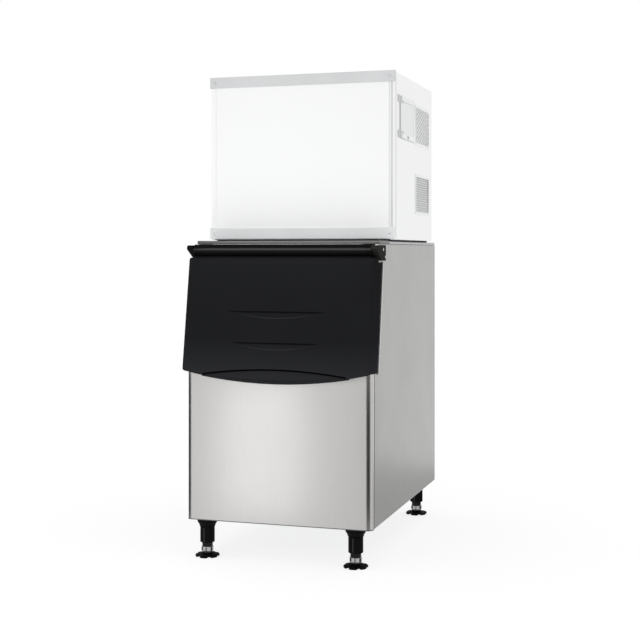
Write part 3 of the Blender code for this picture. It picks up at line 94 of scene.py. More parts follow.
# %% The world is white, and gives an even light
def white_world(light_level):
    world = bpy.data.worlds.new("white_studio")
    world.use_nodes = True
    tree = world.node_tree
    background = tree.nodes["Background"]
    background.inputs["Color"].default_value = (1.0, 1.0, 1.0, 1.0)
    rays = tree.nodes.new("ShaderNodeLightPath")
    seen = rays.outputs["Is Camera Ray"]
    for kind in ("Is Glossy Ray", "Is Transmission Ray"):
        either = tree.nodes.new("ShaderNodeMath")
        either.operation = "MAXIMUM"
        tree.links.new(seen, either.inputs[0])
        tree.links.new(rays.outputs[kind], either.inputs[1])
        seen = either.outputs["Value"]
    strength = tree.nodes.new("ShaderNodeMapRange")
    strength.inputs["To Min"].default_value = light_level
    strength.inputs["To Max"].default_value = 1.0
    tree.links.new(seen, strength.inputs["Value"])
    tree.links.new(strength.outputs["Result"], background.inputs["Strength"])
    scene.world = world


white_world(0.88)
print("world:", scene.world.name)

# %% [markdown]
# An area lamp shines along its own -Z axis. Each lamp is turned with a tracking quaternion, so
# its place and the point that it looks at are all that has to be thought about. Two large lamps
# model the form, and a low strip reaches the foot of the head, which the dark bin would leave grey.

# %% Soft lamps
def soft_lamp(name, place, target, size, power):
    light = bpy.data.lights.new(name, "AREA")
    light.shape = "RECTANGLE"
    light.size = size[0]
    light.size_y = size[1]
    light.energy = power
    lamp = bpy.data.objects.new(name, light)
    lamp.location = place
    lamp.rotation_euler = (Vector(target) - Vector(place)).to_track_quat("-Z", "Y").to_euler()
    lamp.visible_camera = False
    scene.collection.objects.link(lamp)


machine_middle = (0.0, 0.0, 0.75)
soft_lamp("key_lamp", (-1.05, -3.4, 1.7), machine_middle, (1.4, 0.3), 8.0)
soft_lamp("side_lamp", (3.4, -0.6, 1.5), (0.29, 0.1, 1.1), (1.6, 1.6), 2.6)
soft_lamp("head_fill", (-0.02, -0.52, 0.985), (-0.02, -0.18, 0.965), (0.60, 0.05), 0.28)

# %% [markdown]
# The steel front is a blurred mirror. What it shows is the studio in front of it: a soft glow in
# its middle, and darker edges where its rounded corners look past the white sweep. The glow is a
# weak lamp close to the panel, and the dark corners are two black flags, seen by reflections only.
# The side panel shows the floor beside the machine, and a grey card there darkens its foot.

# %% A glow, two flags and a card for the steel
def new_object(name, bm):
    """Turn a bmesh into an object at the origin, and free the bmesh."""
    mesh = bpy.data.meshes.new(name)
    bm.to_mesh(mesh)
    bm.free()
    obj = bpy.data.objects.new(name, mesh)
    scene.collection.objects.link(obj)
    return obj


def put(tree, value, socket):
    """Give a socket a number or a colour, or link another node's output to it."""
    if isinstance(value, bpy.types.NodeSocket):
        tree.links.new(value, socket)
    elif socket.type == "RGBA":
        socket.default_value = (*value, 1.0)
    else:
        socket.default_value = value


def connect(tree, node, **values):
    """Give a node's sockets their values by name, with _ for a space."""
    for name, value in values.items():
        put(tree, value, node.inputs[name.replace("_", " ")])


def new_surface(name, metallic=0.0, specular=0.5):
    surface = bpy.data.materials.new(name)
    surface.use_nodes = True
    tree = surface.node_tree
    shader = tree.nodes["Principled BSDF"]
    connect(tree, shader, Metallic=metallic, Specular_IOR_Level=specular)
    return surface, tree, shader


def studio_surface(name, base, light=0.0):
    """Matt grey with an even light of its own, for the floor and the cards."""
    surface, tree, shader = new_surface(name, specular=0.0)
    connect(tree, shader, Base_Color=(base, base, base), Roughness=1.0, Emission_Color=(1.0, 1.0, 1.0),
            Emission_Strength=light)
    return surface


def studio_card(name, size, turn, place, surface):
    """A flat sheet of the studio that only reflections see."""
    bm = bmesh.new()
    bmesh.ops.create_grid(bm, x_segments=1, y_segments=1, size=0.5)
    bmesh.ops.scale(bm, vec=(*size, 1.0), verts=bm.verts)
    bmesh.ops.rotate(bm, cent=(0, 0, 0), matrix=turn, verts=bm.verts)
    bmesh.ops.translate(bm, vec=place, verts=bm.verts)
    card = new_object(name, bm)
    card.data.materials.append(surface)
    for unseen in ("visible_camera", "visible_diffuse", "visible_transmission", "visible_shadow"):
        setattr(card, unseen, False)


def black_flag(name, corner_x, azimuth, width, distance, low, high):
    """An upright black card, at an angle from the front and a distance from a front corner of the bin."""
    angle = math.radians(azimuth)
    turn = Matrix.Rotation(angle, 3, "Z") @ Matrix.Rotation(math.pi / 2, 3, "X")
    place = (corner_x + distance * math.sin(angle), bin_front_y - distance * math.cos(angle),
             (low + high) / 2)
    studio_card(name, (width, high - low), turn, place, studio_surface(name, 0.01))


bin_half = 0.28
glow_x, glow_z, glow_distance = -0.23, 0.25, 0.50
soft_lamp("panel_glow", (glow_x, bin_front_y - glow_distance, glow_z), (glow_x, bin_front_y, glow_z),
          (0.30, 0.46), 0.29)
black_flag("right_flag", bin_half, 32.0, 0.54, 0.36, 0.0, 0.56)
black_flag("left_flag", -bin_half, -84.0, 0.26, 0.18, 0.06, 0.55)
studio_card("side_card", (1.08, 1.35), Matrix.Identity(3), (0.86, 0.575, 0.003),
            studio_surface("side_card", 0.0, 0.62))

# %% [markdown]
# The floor is one sheet that reaches far past the picture. Most of its white is a light of its
# own, like a sweep of acrylic that is lit from below. The rest is the studio light that it
# returns, and only that part is lost where the machine stands, so the shadow stays faint.

# %% The floor
bm = bmesh.new()
bmesh.ops.create_grid(bm, x_segments=1, y_segments=1, size=6.0)
floor = new_object("studio_floor", bm)
floor.data.materials.append(studio_surface("white_floor", 0.30, 0.745))
print("floor:", tuple(round(value, 1) for value in floor.dimensions))

# %% [markdown]
# ## Surfaces
#
# A surface is one Principled shader. What is the same everywhere is set on its sockets. What
# varies comes from noise on the object's own coordinates: a coarse noise for uneven sheen and
# colour, and a fine one for grain. A stretched noise is brushing, a round one moulded grain.

# %% Helpers for surfaces
def noise(tree, scale, detail=3.0, stretch=(1.0, 1.0, 1.0)):
    place = tree.nodes.new("ShaderNodeTexCoord")
    mapping = tree.nodes.new("ShaderNodeMapping")
    grain = tree.nodes.new("ShaderNodeTexNoise")
    connect(tree, mapping, Vector=place.outputs["Object"], Scale=stretch)
    connect(tree, grain, Vector=mapping.outputs["Vector"], Scale=scale, Detail=detail)
    return grain.outputs["Fac"]


def cells(tree, scale):
    """Irregular cells, as the distance from the middle of each."""
    place = tree.nodes.new("ShaderNodeTexCoord")
    pattern = tree.nodes.new("ShaderNodeTexVoronoi")
    connect(tree, pattern, Vector=place.outputs["Object"], Scale=scale)
    return pattern.outputs["Distance"]


def ramp(tree, value, first, last, low, high):
    """Follow a value from first to last with a line from low to high, level beyond both."""
    line = tree.nodes.new("ShaderNodeMapRange")
    connect(tree, line, Value=value, From_Min=first, From_Max=last, To_Min=low, To_Max=high)
    return line.outputs["Result"]


def spread(tree, value, low=0.0, high=1.0):
    """Map the middle half of a noise to a range."""
    return ramp(tree, value, 0.25, 0.75, low, high)


def blend(tree, factor, first, second, kind="RGBA"):
    """Mix two colours, or two numbers with the kind FLOAT."""
    mix = tree.nodes.new("ShaderNodeMix")
    mix.data_type = kind
    first_socket, result = (6, 2) if kind == "RGBA" else (2, 0)
    put(tree, factor, mix.inputs[0])
    put(tree, first, mix.inputs[first_socket])
    put(tree, second, mix.inputs[first_socket + 1])
    return mix.outputs[result]


def shade(colour, factor):
    return tuple(min(1.0, channel * factor) for channel in colour)


def varied(tree, pattern, colour, low, high):
    """A colour that a pattern takes between two shades."""
    return blend(tree, pattern, shade(colour, low), shade(colour, high))


def bump(tree, value, distance, strength):
    relief = tree.nodes.new("ShaderNodeBump")
    connect(tree, relief, Height=value, Distance=distance, Strength=strength)
    return relief.outputs["Normal"]


print("helpers defined")

# %% [markdown]
# Sheet steel is rolled and brushed. The brushing is fine noise drawn out along the sheet, and
# finger marks are patches of other roughness. Galvanised sheet has crystals instead of brushing,
# which a pattern of cells gives.

# %% Steel, plated steel and other bare metals
def brushed_steel(name, colour, rough, along):
    surface, tree, shader = new_surface(name, metallic=1.0)
    stretch = {"X": (0.02, 1.0, 1.0), "Z": (1.0, 1.0, 0.02)}[along]
    grain = noise(tree, 900.0, 2.0, stretch)
    connect(tree, shader, Base_Color=varied(tree, spread(tree, grain), colour, 0.975, 1.025),
            Roughness=spread(tree, noise(tree, 5.0, 4.0), *rough), Normal=bump(tree, grain, 0.00003, 0.14))
    return surface


def galvanised_steel(name, colour):
    surface, tree, shader = new_surface(name, metallic=1.0)
    crystals = cells(tree, 90.0)
    connect(tree, shader, Base_Color=varied(tree, crystals, colour, 0.86, 1.08),
            Roughness=spread(tree, noise(tree, 30.0), 0.42, 0.58), Normal=bump(tree, crystals, 0.0001, 0.2))
    return surface


def plated(name, colour, rough=(0.06, 0.14)):
    surface, tree, shader = new_surface(name, metallic=1.0)
    patches = noise(tree, 60.0, 5.0)
    connect(tree, shader, Base_Color=varied(tree, spread(tree, patches), colour, 0.90, 1.04),
            Roughness=spread(tree, patches, *rough), Normal=bump(tree, noise(tree, 700.0), 0.00002, 0.2))
    return surface


print("metal surfaces defined")

# %% [markdown]
# Moulded plastic takes the fine grain of its mould, and its sheen varies a little where hands
# have been. Enamel is smooth, with a very fine orange peel. Both are the same recipe with other
# numbers. The black door is dark in its own colour and has a weak reflection, because a strong
# one would turn it grey in a white studio.

# %% Plastics, enamel and foam
def moulded(name, colour, rough=(0.42, 0.55), specular=0.4, grain_scale=1500.0, depth=0.00005, vary=0.06):
    surface, tree, shader = new_surface(name, specular=specular)
    patches = noise(tree, 7.0, 4.0)
    connect(tree, shader, Base_Color=varied(tree, spread(tree, patches), colour, 1 - vary, 1 + vary),
            Roughness=spread(tree, patches, *rough),
            Normal=bump(tree, noise(tree, grain_scale, 1.5), depth, 0.35))
    return surface


def polished_black(name, colour, coat, rough, grain_depth=0.00003):
    """Black plastic: no gloss of its own under a thin skin that gives a weak, sharper sheen."""
    surface, tree, shader = new_surface(name, specular=0.0)
    patches = noise(tree, 9.0, 4.0)
    relief = bump(tree, noise(tree, 900.0, 1.5), grain_depth, 0.3)
    connect(tree, shader, Base_Color=varied(tree, spread(tree, patches), colour, 0.9, 1.1), Roughness=0.6,
            Coat_Weight=coat, Coat_Roughness=spread(tree, patches, *rough), Normal=relief, Coat_Normal=relief)
    return surface


def door_plastic(name, face_colour, barrel_painted_shade, barrel_foot):
    """The door's moulding: grained below, with painted light that makes it paler at its foot, and smooth
    and painted blacker on the barrel as shade, with a shinier band painted round the middle of its height,
    where the highlight falls."""
    surface, tree, shader = new_surface(name, specular=0.0)
    place = tree.nodes.new("ShaderNodeTexCoord")
    split = tree.nodes.new("ShaderNodeSeparateXYZ")
    connect(tree, split, Vector=place.outputs["Object"])
    height = split.outputs["Z"]
    # Painted shade: above the barrel's foot the colour turns to the blacker barrel colour.
    barrel = ramp(tree, height, barrel_foot - 0.001, barrel_foot + 0.001, 0.0, 1.0)
    patches = noise(tree, 7.0, 4.0)
    face = varied(tree, spread(tree, patches), face_colour, 0.93, 1.07)
    # Painted light: the face turns paler towards its foot.
    foot_painted_light = ramp(tree, height, barrel_foot - 0.335, barrel_foot - 0.235, 1.0, 0.0)
    face = blend(tree, foot_painted_light, face, shade(face_colour, 1.75))
    # Painted highlight: the coat is strong only in a band round the barrel's middle height.
    offset = tree.nodes.new("ShaderNodeMath")
    offset.operation = "SUBTRACT"
    put(tree, height, offset.inputs[0])
    put(tree, barrel_foot + 0.0215, offset.inputs[1])
    away = tree.nodes.new("ShaderNodeMath")
    away.operation = "ABSOLUTE"
    put(tree, offset.outputs["Value"], away.inputs[0])
    highlight_sheen_band = ramp(tree, away.outputs["Value"], 0.0015, 0.0065, 0.45, 0.04)
    connect(tree, shader, Base_Color=blend(tree, barrel, face, barrel_painted_shade), Roughness=0.7,
            Coat_Weight=blend(tree, barrel, 0.012, highlight_sheen_band, "FLOAT"),
            Coat_Roughness=blend(tree, barrel, spread(tree, patches, 0.46, 0.60), 0.20, "FLOAT"),
            Normal=bump(tree, noise(tree, 1300.0, 1.5), 0.00008, 0.35))
    return surface


def enamel(name, colour, rough=(0.36, 0.44)):
    surface, tree, shader = new_surface(name, specular=0.4)
    patches = noise(tree, 3.5)
    connect(tree, shader, Base_Color=varied(tree, spread(tree, patches), colour, 0.99, 1.01),
            Roughness=spread(tree, patches, *rough),
            Normal=bump(tree, noise(tree, 420.0, 1.0), 0.00004, 0.15))
    return surface


def cellular_foam(name, colour):
    surface, tree, shader = new_surface(name, specular=0.2)
    foam_cells = cells(tree, 700.0)
    connect(tree, shader, Base_Color=varied(tree, foam_cells, colour, 0.82, 1.05),
            Roughness=spread(tree, noise(tree, 50.0), 0.8, 0.95), Normal=bump(tree, foam_cells, 0.0004, 0.5))
    return surface


print("plastic surfaces defined")

# %% [markdown]
# ## One finish for each node
#
# The record names a material slot for every node of the solid model. Each slot gets its surface
# here once, by what the node is made of, so that a hidden part such as the pump is finished as
# well as the door. Pieces that are added later take their surface from the same table.

# %% The table of finishes
white_sheet = (0.90, 0.903, 0.905)
finishes = {
    "front_steel": brushed_steel("front_steel", (0.50, 0.494, 0.488), (0.28, 0.34), "Z"),
    # Painted shade: the side sheets take a darker copy of the front's steel, and the shelf a much darker one.
    "side_steel": brushed_steel("side_steel", (0.355, 0.355, 0.345), (0.30, 0.38), "Z"),
    "shelf_steel": brushed_steel("shelf_steel", (0.085, 0.085, 0.085), (0.28, 0.36), "X"),
    "galvanised": galvanised_steel("galvanised", (0.50, 0.51, 0.52)),
    "chrome": plated("chrome_plate", (0.55, 0.55, 0.56)),
    # Blackened plating for the threaded rods, and painted shade on the nut corners.
    "dark_chrome_and_corner_shade": plated("dark_chrome_and_corner_shade", (0.045, 0.045, 0.048), (0.12, 0.22)),
    "white_enamel": enamel("white_enamel", white_sheet),
    # Painted shade on the door's barrel, and painted light at its foot.
    "door_black": door_plastic("door_black", (0.0125, 0.0128, 0.0138), (0.0048, 0.0049, 0.0052), 0.8755),
    # Painted shade under the finger pull's ledge.
    "pull_shade_black": polished_black("pull_shade_black", (0.0015, 0.0015, 0.0016), 0.01, (0.5, 0.6)),
    # Painted highlight and painted shade along the smile recesses' edges.
    "smile_edge_highlight_black": polished_black("smile_edge_highlight_black", (0.026, 0.026, 0.028), 0.2, (0.3, 0.4)),
    "shade_black": polished_black("shade_black", (0.0055, 0.0055, 0.0060), 0.01, (0.5, 0.6)),
    # Painted shade for the front panel's foot.
    "foot_shade_steel": brushed_steel("foot_shade_steel", (0.13, 0.13, 0.13), (0.3, 0.4), "X"),
    # Painted highlight on the side sheets' folds.
    "fold_highlight_steel": brushed_steel("fold_highlight_steel", (0.62, 0.62, 0.61), (0.3, 0.4), "Z"),
    "frame_black": moulded("frame_black", (0.014, 0.014, 0.015), (0.45, 0.6), 0.2),
    "leg_black": polished_black("leg_black", (0.0016, 0.0016, 0.0018), 0.12, (0.12, 0.18)),
    # Painted highlight for the leg tubes.
    "leg_highlight_black": polished_black("leg_highlight_black", (0.036, 0.036, 0.037), 0.3, (0.25, 0.35)),
    "nut_chrome": plated("nut_chrome", (0.42, 0.42, 0.425), (0.10, 0.18)),
    "bracket_black": polished_black("bracket_black", (0.004, 0.004, 0.0042), 0.08, (0.30, 0.40), 0.00006),
    "bracket_grey": polished_black("bracket_grey", (0.021, 0.022, 0.019), 0.05, (0.35, 0.45), 0.00006),
    "trim_grey": moulded("trim_grey", (0.62, 0.63, 0.635), (0.36, 0.46), 0.4),
    # Painted light: a paler copy of the trim grey, for the lower trim where less light falls.
    "trim_pale": moulded("trim_pale", (0.76, 0.77, 0.775), (0.36, 0.46), 0.4),
    "cover_grey": moulded("cover_grey", (0.84, 0.845, 0.85), (0.34, 0.44), 0.4),
    "pane_grey": moulded("pane_grey", (0.77, 0.775, 0.78), (0.30, 0.34), 0.4, vary=0.02),
    "bar_grey": moulded("bar_grey", (0.56, 0.565, 0.57), (0.40, 0.50), 0.4),
    "latch_grey": moulded("latch_grey", (0.36, 0.365, 0.37), (0.35, 0.45), 0.4),
    "vent_grey": moulded("vent_grey", (0.86, 0.865, 0.87), (0.45, 0.55), 0.3),
    "plate_grey": moulded("plate_grey", (0.68, 0.69, 0.70), (0.35, 0.45), 0.4),
    "liner_white": moulded("liner_white", (0.76, 0.77, 0.78), (0.26, 0.36), 0.5, 600.0, 0.00004),
    "foam": cellular_foam("insulation_foam", (0.80, 0.72, 0.50)),
    "gasket_black": cellular_foam("gasket_rubber_and_seam_shade", (0.02, 0.02, 0.02)),
    "evaporator_metal": plated("evaporator_metal", (0.72, 0.72, 0.73), (0.20, 0.32)),
    "fin_aluminium": brushed_steel("fin_aluminium", (0.62, 0.62, 0.63), (0.30, 0.42), "Z"),
    "compressor_paint": moulded("compressor_paint", (0.025, 0.025, 0.027), (0.30, 0.42), 0.5, 300.0, 0.0001),
    "motor_paint": moulded("motor_paint", (0.045, 0.045, 0.05), (0.35, 0.45), 0.5, 300.0, 0.0001),
    "fan_plastic": moulded("fan_plastic", (0.08, 0.08, 0.085), (0.35, 0.48), 0.4),
    "brass": plated("turned_brass", (0.70, 0.52, 0.26), (0.22, 0.36)),
}
print(len(finishes), "surfaces")

# %% Every node takes its finish
corners = ("front_left", "front_right", "rear_left", "rear_right")
finish_of = {}


def assign(finish, *names):
    for name in names:
        finish_of[name] = finish


assign("front_steel", "bin_front_panel")
assign("side_steel", "bin_side_left", "bin_side_right")
assign("shelf_steel", "bin_front_shelf")
assign("galvanised", "bin_back", "bin_base", "bin_deck", "head_base", "fan_shroud", "control_box")
assign("white_enamel", "head_side_left", "head_side_right", "head_back", "head_top", "head_front_panel")
assign("door_black", "door_shell")
assign("frame_black", "throat_frame", "water_pump", "cord_gland", "power_switch")
assign("bar_grey", "cover_hinge_bar")
assign("leg_black", *("leg_" + corner for corner in corners), *("foot_" + corner for corner in corners))
assign("chrome", *("stem_" + corner for corner in corners), "hinge_pin_left", "hinge_pin_right")
assign("bracket_grey", "hinge_bracket_right")
assign("bracket_black", "hinge_bracket_left")
assign("trim_grey", "trim_top")
# Painted light: the lower trim is a paler copy of the upper one's grey.
assign("trim_pale", "trim_bottom")
assign("cover_grey", "control_cover", "door_liner", "control_bezel")
assign("pane_grey", "cover_window")
assign("vent_grey", "vent_upper", "vent_lower")
assign("plate_grey", "control_plate")
assign("liner_white", "bin_liner", "drain_fitting", "freezing_compartment")
assign("liner_white", "water_distributor", "water_curtain", "water_trough")
assign("foam", "bin_insulation")
assign("gasket_black", "head_gasket")
assign("evaporator_metal", "evaporator")
assign("fin_aluminium", "condenser")
assign("compressor_paint", "compressor")
assign("motor_paint", "fan_motor")
assign("fan_plastic", "fan_blade")
assign("brass", "water_inlet")

missing = sorted(set(nodes) - set(finish_of))
print("nodes without a finish:", missing)
for name, node in nodes.items():
    for slot in node.material_slots:
        slot.material = finishes[finish_of[name]]

# %% [markdown]
# ## Finer pieces for the solids in view
#
# A solid from the CAD has knife edges, and its mesh is loose triangles. A sheet-metal bend or a
# moulded corner shows as a thin line of light, and that line is most of what makes a picture of
# an appliance look real. So the solids in view are copied, the copy is merged into one skin, its
# flat faces are made whole, and its sharp edges get a small rounding. The copy then stands for
# the node, which stays in the frame for the physics.

# %% A copy with rounded edges
body_of_node = {}
for body, members in record["behaviour"]["bodies"].items():
    for member in members:
        body_of_node[member] = body


def merged_copy(node_name):
    """The node's mesh as one skin of whole faces."""
    bm = bmesh.new()
    bm.from_mesh(nodes[node_name].data)
    bmesh.ops.remove_doubles(bm, verts=bm.verts, dist=0.00002)
    bmesh.ops.dissolve_limit(bm, angle_limit=math.radians(1.0), verts=bm.verts, edges=bm.edges)
    return bm


def sharp_edges(bm, angle=28):
    limit = math.radians(angle)
    found = []
    for edge in bm.edges:
        if len(edge.link_faces) == 2 and edge.calc_face_angle() > limit:
            found.append(edge)
    return found


def round_edges(bm, edges, width, segments=2):
    bmesh.ops.bevel(bm, geom=edges, offset=width, offset_type="OFFSET", segments=segments, profile=0.5,
                    affect="EDGES", material=-1, clamp_overlap=True)


def shade_smooth(obj, angle=35):
    """Smooth shading that leaves large flat faces flat."""
    obj.data.shade_smooth()
    obj.data.set_sharp_from_angle(angle=math.radians(angle))
    weighted = obj.modifiers.new("flat_faces", "WEIGHTED_NORMAL")
    weighted.keep_sharp = True
    weighted.weight = 100


def settle(obj, node_name, finish=None):
    """Give a piece its finish, and the body and the slot of a node."""
    obj.data.materials.clear()
    obj.data.materials.append(finishes[finish or finish_of[node_name]])
    shade_smooth(obj)
    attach(obj, body_of_node[node_name])
    return obj


def refine(node_name, width=0.0004, segments=2):
    bm = merged_copy(node_name)
    round_edges(bm, sharp_edges(bm), width, segments)
    open_edges = sum(1 for edge in bm.edges if len(edge.link_faces) != 2)
    if open_edges:
        print(node_name, "has", open_edges, "open edges")
    obj = settle(new_object(node_name + "_fine", bm), node_name)
    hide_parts(node_name)
    print(obj.name, len(obj.data.polygons), "faces")
    return obj


def plain_bar(name, low, high, width, node_name, finish=None, segments=3):
    """A thin bar between two corners, with its edges rounded."""
    bm = bmesh.new()
    bmesh.ops.create_cube(bm, size=1.0)
    bmesh.ops.scale(bm, vec=Vector(high) - Vector(low), verts=bm.verts)
    bmesh.ops.translate(bm, vec=(Vector(low) + Vector(high)) / 2, verts=bm.verts)
    round_edges(bm, bm.edges[:], width, segments)
    return settle(new_object(name, bm), node_name, finish)


for name in ("bin_front_shelf", "bin_back", "bin_base"):
    refine(name)

# %% [markdown]
# The front panel wraps round both corners and meets the side panels in a seam. Both edges of a
# folded seam are round, so it shows as a dark line with a light one beside it. A wider rounding
# on these sheets than on the others gives that groove, and a black strip in each seam adds
# painted shade. The front panel is bent anew from its outline, with a rounder corner in many
# steps, and a dark strip along its foot is a painted shade line.

# %% The front panel and the bin's sides
for name in ("bin_side_left", "bin_side_right"):
    refine(name, 0.0009, 3)


def box_of(node_name):
    low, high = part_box(node_name)
    return Vector(low), Vector(high)


def quarter(centre, radius, start, steps):
    """A quarter circle from a start angle, as points of x and y."""
    points = []
    for step in range(steps + 1):
        angle = math.radians(start + 90 * step / steps)
        points.append((centre[0] + radius * math.cos(angle), centre[1] + radius * math.sin(angle)))
    return points


seam = 0.0045


def panel_line(low, high, bend, out=0.0):
    """The open outline of the wrapped panel, seen from above, short of the side sheets by a seam."""
    line = [(low.x - out, high.y - seam)]
    line += quarter((low.x + bend, low.y + bend), bend + out, 180, 20)
    line += quarter((high.x - bend, low.y + bend), bend + out, 270, 20)
    return line + [(high.x + out, high.y - seam)]


def bent_strip(name, line, low_z, high_z, wall, width):
    """Raise an open outline between two heights, give it a wall and round its edges."""
    bm = bmesh.new()
    foot = [bm.verts.new((x, y, low_z)) for x, y in line]
    edges = [bm.edges.new(pair) for pair in zip(foot, foot[1:])]
    grown = bmesh.ops.extrude_edge_only(bm, edges=edges)["geom"]
    top = [item for item in grown if isinstance(item, bmesh.types.BMVert)]
    bmesh.ops.translate(bm, vec=(0, 0, high_z - low_z), verts=top)
    bm.normal_update()
    if min(bm.faces, key=lambda face: face.calc_center_median().y).normal.y > 0:
        bmesh.ops.reverse_faces(bm, faces=bm.faces)
    bmesh.ops.solidify(bm, geom=bm.faces[:], thickness=wall)
    round_edges(bm, sharp_edges(bm, 60), width, 2)
    return new_object(name, bm)


low, high = box_of("bin_front_panel")
bend = 0.018
panel_wall = 0.0012
line = panel_line(low, high, bend)
panel = settle(bent_strip("bin_front_panel_fine", line, low.z, high.z, panel_wall, 0.0004), "bin_front_panel")
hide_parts("bin_front_panel")
# Painted shade: a dark strip along the panel's foot.
foot_shade_line = panel_line(low, high, bend, 0.0004)
foot_shade_height = 0.0024
settle(bent_strip("front_panel_foot_shade", foot_shade_line, low.z, low.z + foot_shade_height, 0.0003, 0.0001), "bin_front_panel",
       "foot_shade_steel")
# Painted shade: a black strip in each seam between the front panel and the side sheets.
for word, sign in (("left", -1), ("right", 1)):
    near_x, far_x = sorted((sign * (high.x - 0.0028), sign * (high.x - 0.0016)))
    plain_bar("seam_shade_" + word, (near_x, high.y - seam - 0.001, low.z + 0.001),
              (far_x, high.y + 0.003, high.z - 0.001), 0.0003, "bin_front_panel", "gasket_black", 2)
print(panel.name, len(panel.data.polygons), "faces")

# %% The head's sheets and trims
for name in ("head_side_left", "head_side_right", "head_front_panel", "head_back", "head_base"):
    refine(name, 0.0002)

lid = refine("head_top", 0.0004)
lid_low, lid_high = box_of("head_top")
lid_gap = 0.00028
lid_rim = min(vert.co.z for vert in lid.data.vertices)
for vert in lid.data.vertices:
    if vert.co.z < lid_rim + 0.0001:
        vert.co.z -= lid_gap
print("the lid's rim comes down to", round(lid_rim - lid_gap, 5))
for name in ("trim_top", "trim_bottom", "control_cover", "cover_window", "control_bezel", "cover_hinge_bar"):
    refine(name, 0.0003)

# %% [markdown]
# Between the head's front panel and its side sheets there is a gap of nearly two millimetres. On
# the real head the frame's own flange lies behind it, and so the gap is a grey line and not a
# black one. The flange is an angle: one leg behind the gap, the other along the side sheet.

# %% The flanges behind the front panel's gaps
def prism(name, outline, low, high):
    """Stand an outline of x and y points up between two heights."""
    bm = bmesh.new()
    base = bm.faces.new([bm.verts.new((x, y, low)) for x, y in outline])
    grown = bmesh.ops.extrude_face_region(bm, geom=[base])["geom"]
    verts = [item for item in grown if isinstance(item, bmesh.types.BMVert)]
    bmesh.ops.translate(bm, vec=(0, 0, high - low), verts=verts)
    bmesh.ops.recalc_face_normals(bm, faces=bm.faces)
    return new_object(name, bm)


panel_low, panel_high = box_of("head_front_panel")
side_low = box_of("head_side_right")[0]
for word, sign in (("left", -1), ("right", 1)):
    outer = sign * (side_low.x - 0.0001)
    inner = sign * (panel_high.x + 0.0001)
    near = panel_low.y + 0.0003
    back = near + 0.0008
    far = panel_low.y + 0.009
    leg = outer - sign * 0.0007
    outline = [(inner, near), (outer, near), (outer, far), (leg, far), (leg, back), (inner, back)]
    flange = prism("gap_flange_" + word, outline, panel_low.z + 0.001, panel_high.z - 0.001)
    settle(flange, "head_front_panel")
    print(flange.name, len(flange.data.polygons), "faces")

# %% [markdown]
# Two more lines show on the head's corner. The frame's post is covered by a grey strip beside the
# front panel on the right, and the side sheet starts a little behind the corner, with a seam. On
# the left the white front reaches the corner, so a thin white strip closes the gap there. A line
# of white sealant closes the joint between each side sheet and the lid.

# %% Strips and seams of the head's corners
strip_foot = box_of("trim_bottom")[1].z + 0.0005
strip_head = box_of("trim_top")[0].z - 0.0005
front = panel_low.y
skin = lid_high.x
plain_bar("post_strip_right", (0.2804, front - 0.0006, strip_foot), (0.2864, front + 0.0004, strip_head),
          0.0003, "head_front_panel", "trim_grey")
plain_bar("edge_strip_left", (-0.2898, front - 0.0004, strip_foot), (-0.2745, front + 0.0002, strip_head),
          0.00015, "head_front_panel")
seam_y = -0.1580
for word, sign in (("left", -1), ("right", 1)):
    near_x, far_x = sorted((sign * (skin - 0.0004), sign * (skin + 0.00015)))
    plain_bar("side_seam_" + word, (near_x, seam_y, strip_foot - 0.03),
              (far_x, seam_y + 0.0017, strip_head + 0.018), 0.0001, "head_side_" + word, "gasket_black")
    near_x, far_x = sorted((sign * (skin - 0.0006), sign * (skin + 0.0002)))
    plain_bar("lid_sealant_" + word, (near_x, lid_low.y + 0.004, lid_low.z - 0.0022),
              (far_x, lid_high.y - 0.001, lid_low.z + 0.0018), 0.00025, "head_side_" + word)
print("strips from", round(strip_foot, 4), "to", round(strip_head, 4))

# %% [markdown]
# The side sheets are folded along their leaning front edge, and the fold stands a little out
# beside the door. From the front right it is a thin light line along the door's black flank, and
# its steel, paler than the side sheet's, is a painted highlight.

# %% The folds beside the door
fold_foot, fold_head = (-0.3496, 0.544), (-0.2958, 0.862)
fold_depth = 0.0035
for word, sign in (("left", -1), ("right", 1)):
    near_x = sign * 0.2802
    far_x = sign * 0.2878
    bm = bmesh.new()
    ends = []
    for y, z in (fold_foot, fold_head):
        corner_points = [(near_x, y), (far_x, y), (far_x, y + fold_depth), (near_x, y + fold_depth)]
        ends.append([bm.verts.new((px, py, z)) for px, py in corner_points])
    loops = [[bm.edges.new((ring[step], ring[(step + 1) % 4])) for step in range(4)] for ring in ends]
    bmesh.ops.bridge_loops(bm, edges=loops[0] + loops[1])
    bmesh.ops.holes_fill(bm, edges=loops[0] + loops[1])
    bmesh.ops.recalc_face_normals(bm, faces=bm.faces)
    round_edges(bm, bm.edges[:], 0.0009, 3)
    fold_edge = settle(new_object("side_fold_" + word, bm), "bin_side_" + word, "fold_highlight_steel")
    print(fold_edge.name, len(fold_edge.data.polygons), "faces")

# %% [markdown]
# ## Screws
#
# Every fixing screw in view is a domed pan head with a cross recess. The dome is a curve spun
# about the screw's axis in many rings, and the recess is pressed into it: points that lie in the
# arms of a cross are lowered, deepest in the middle.

# %% Pan-head screws
def spun(profile, steps):
    """Spin a profile of radius and height round the Z axis, and close it at both ends."""
    bm = bmesh.new()
    verts = [bm.verts.new((radius, 0.0, height)) for radius, height in profile]
    edges = [bm.edges.new(pair) for pair in zip(verts, verts[1:])]
    bmesh.ops.spin(bm, geom=verts + edges, cent=(0, 0, 0), axis=(0, 0, 1), angle=2 * math.pi, steps=steps,
                   use_merge=True)
    bmesh.ops.remove_doubles(bm, verts=bm.verts, dist=0.000001)
    bmesh.ops.recalc_face_normals(bm, faces=bm.faces)
    return bm


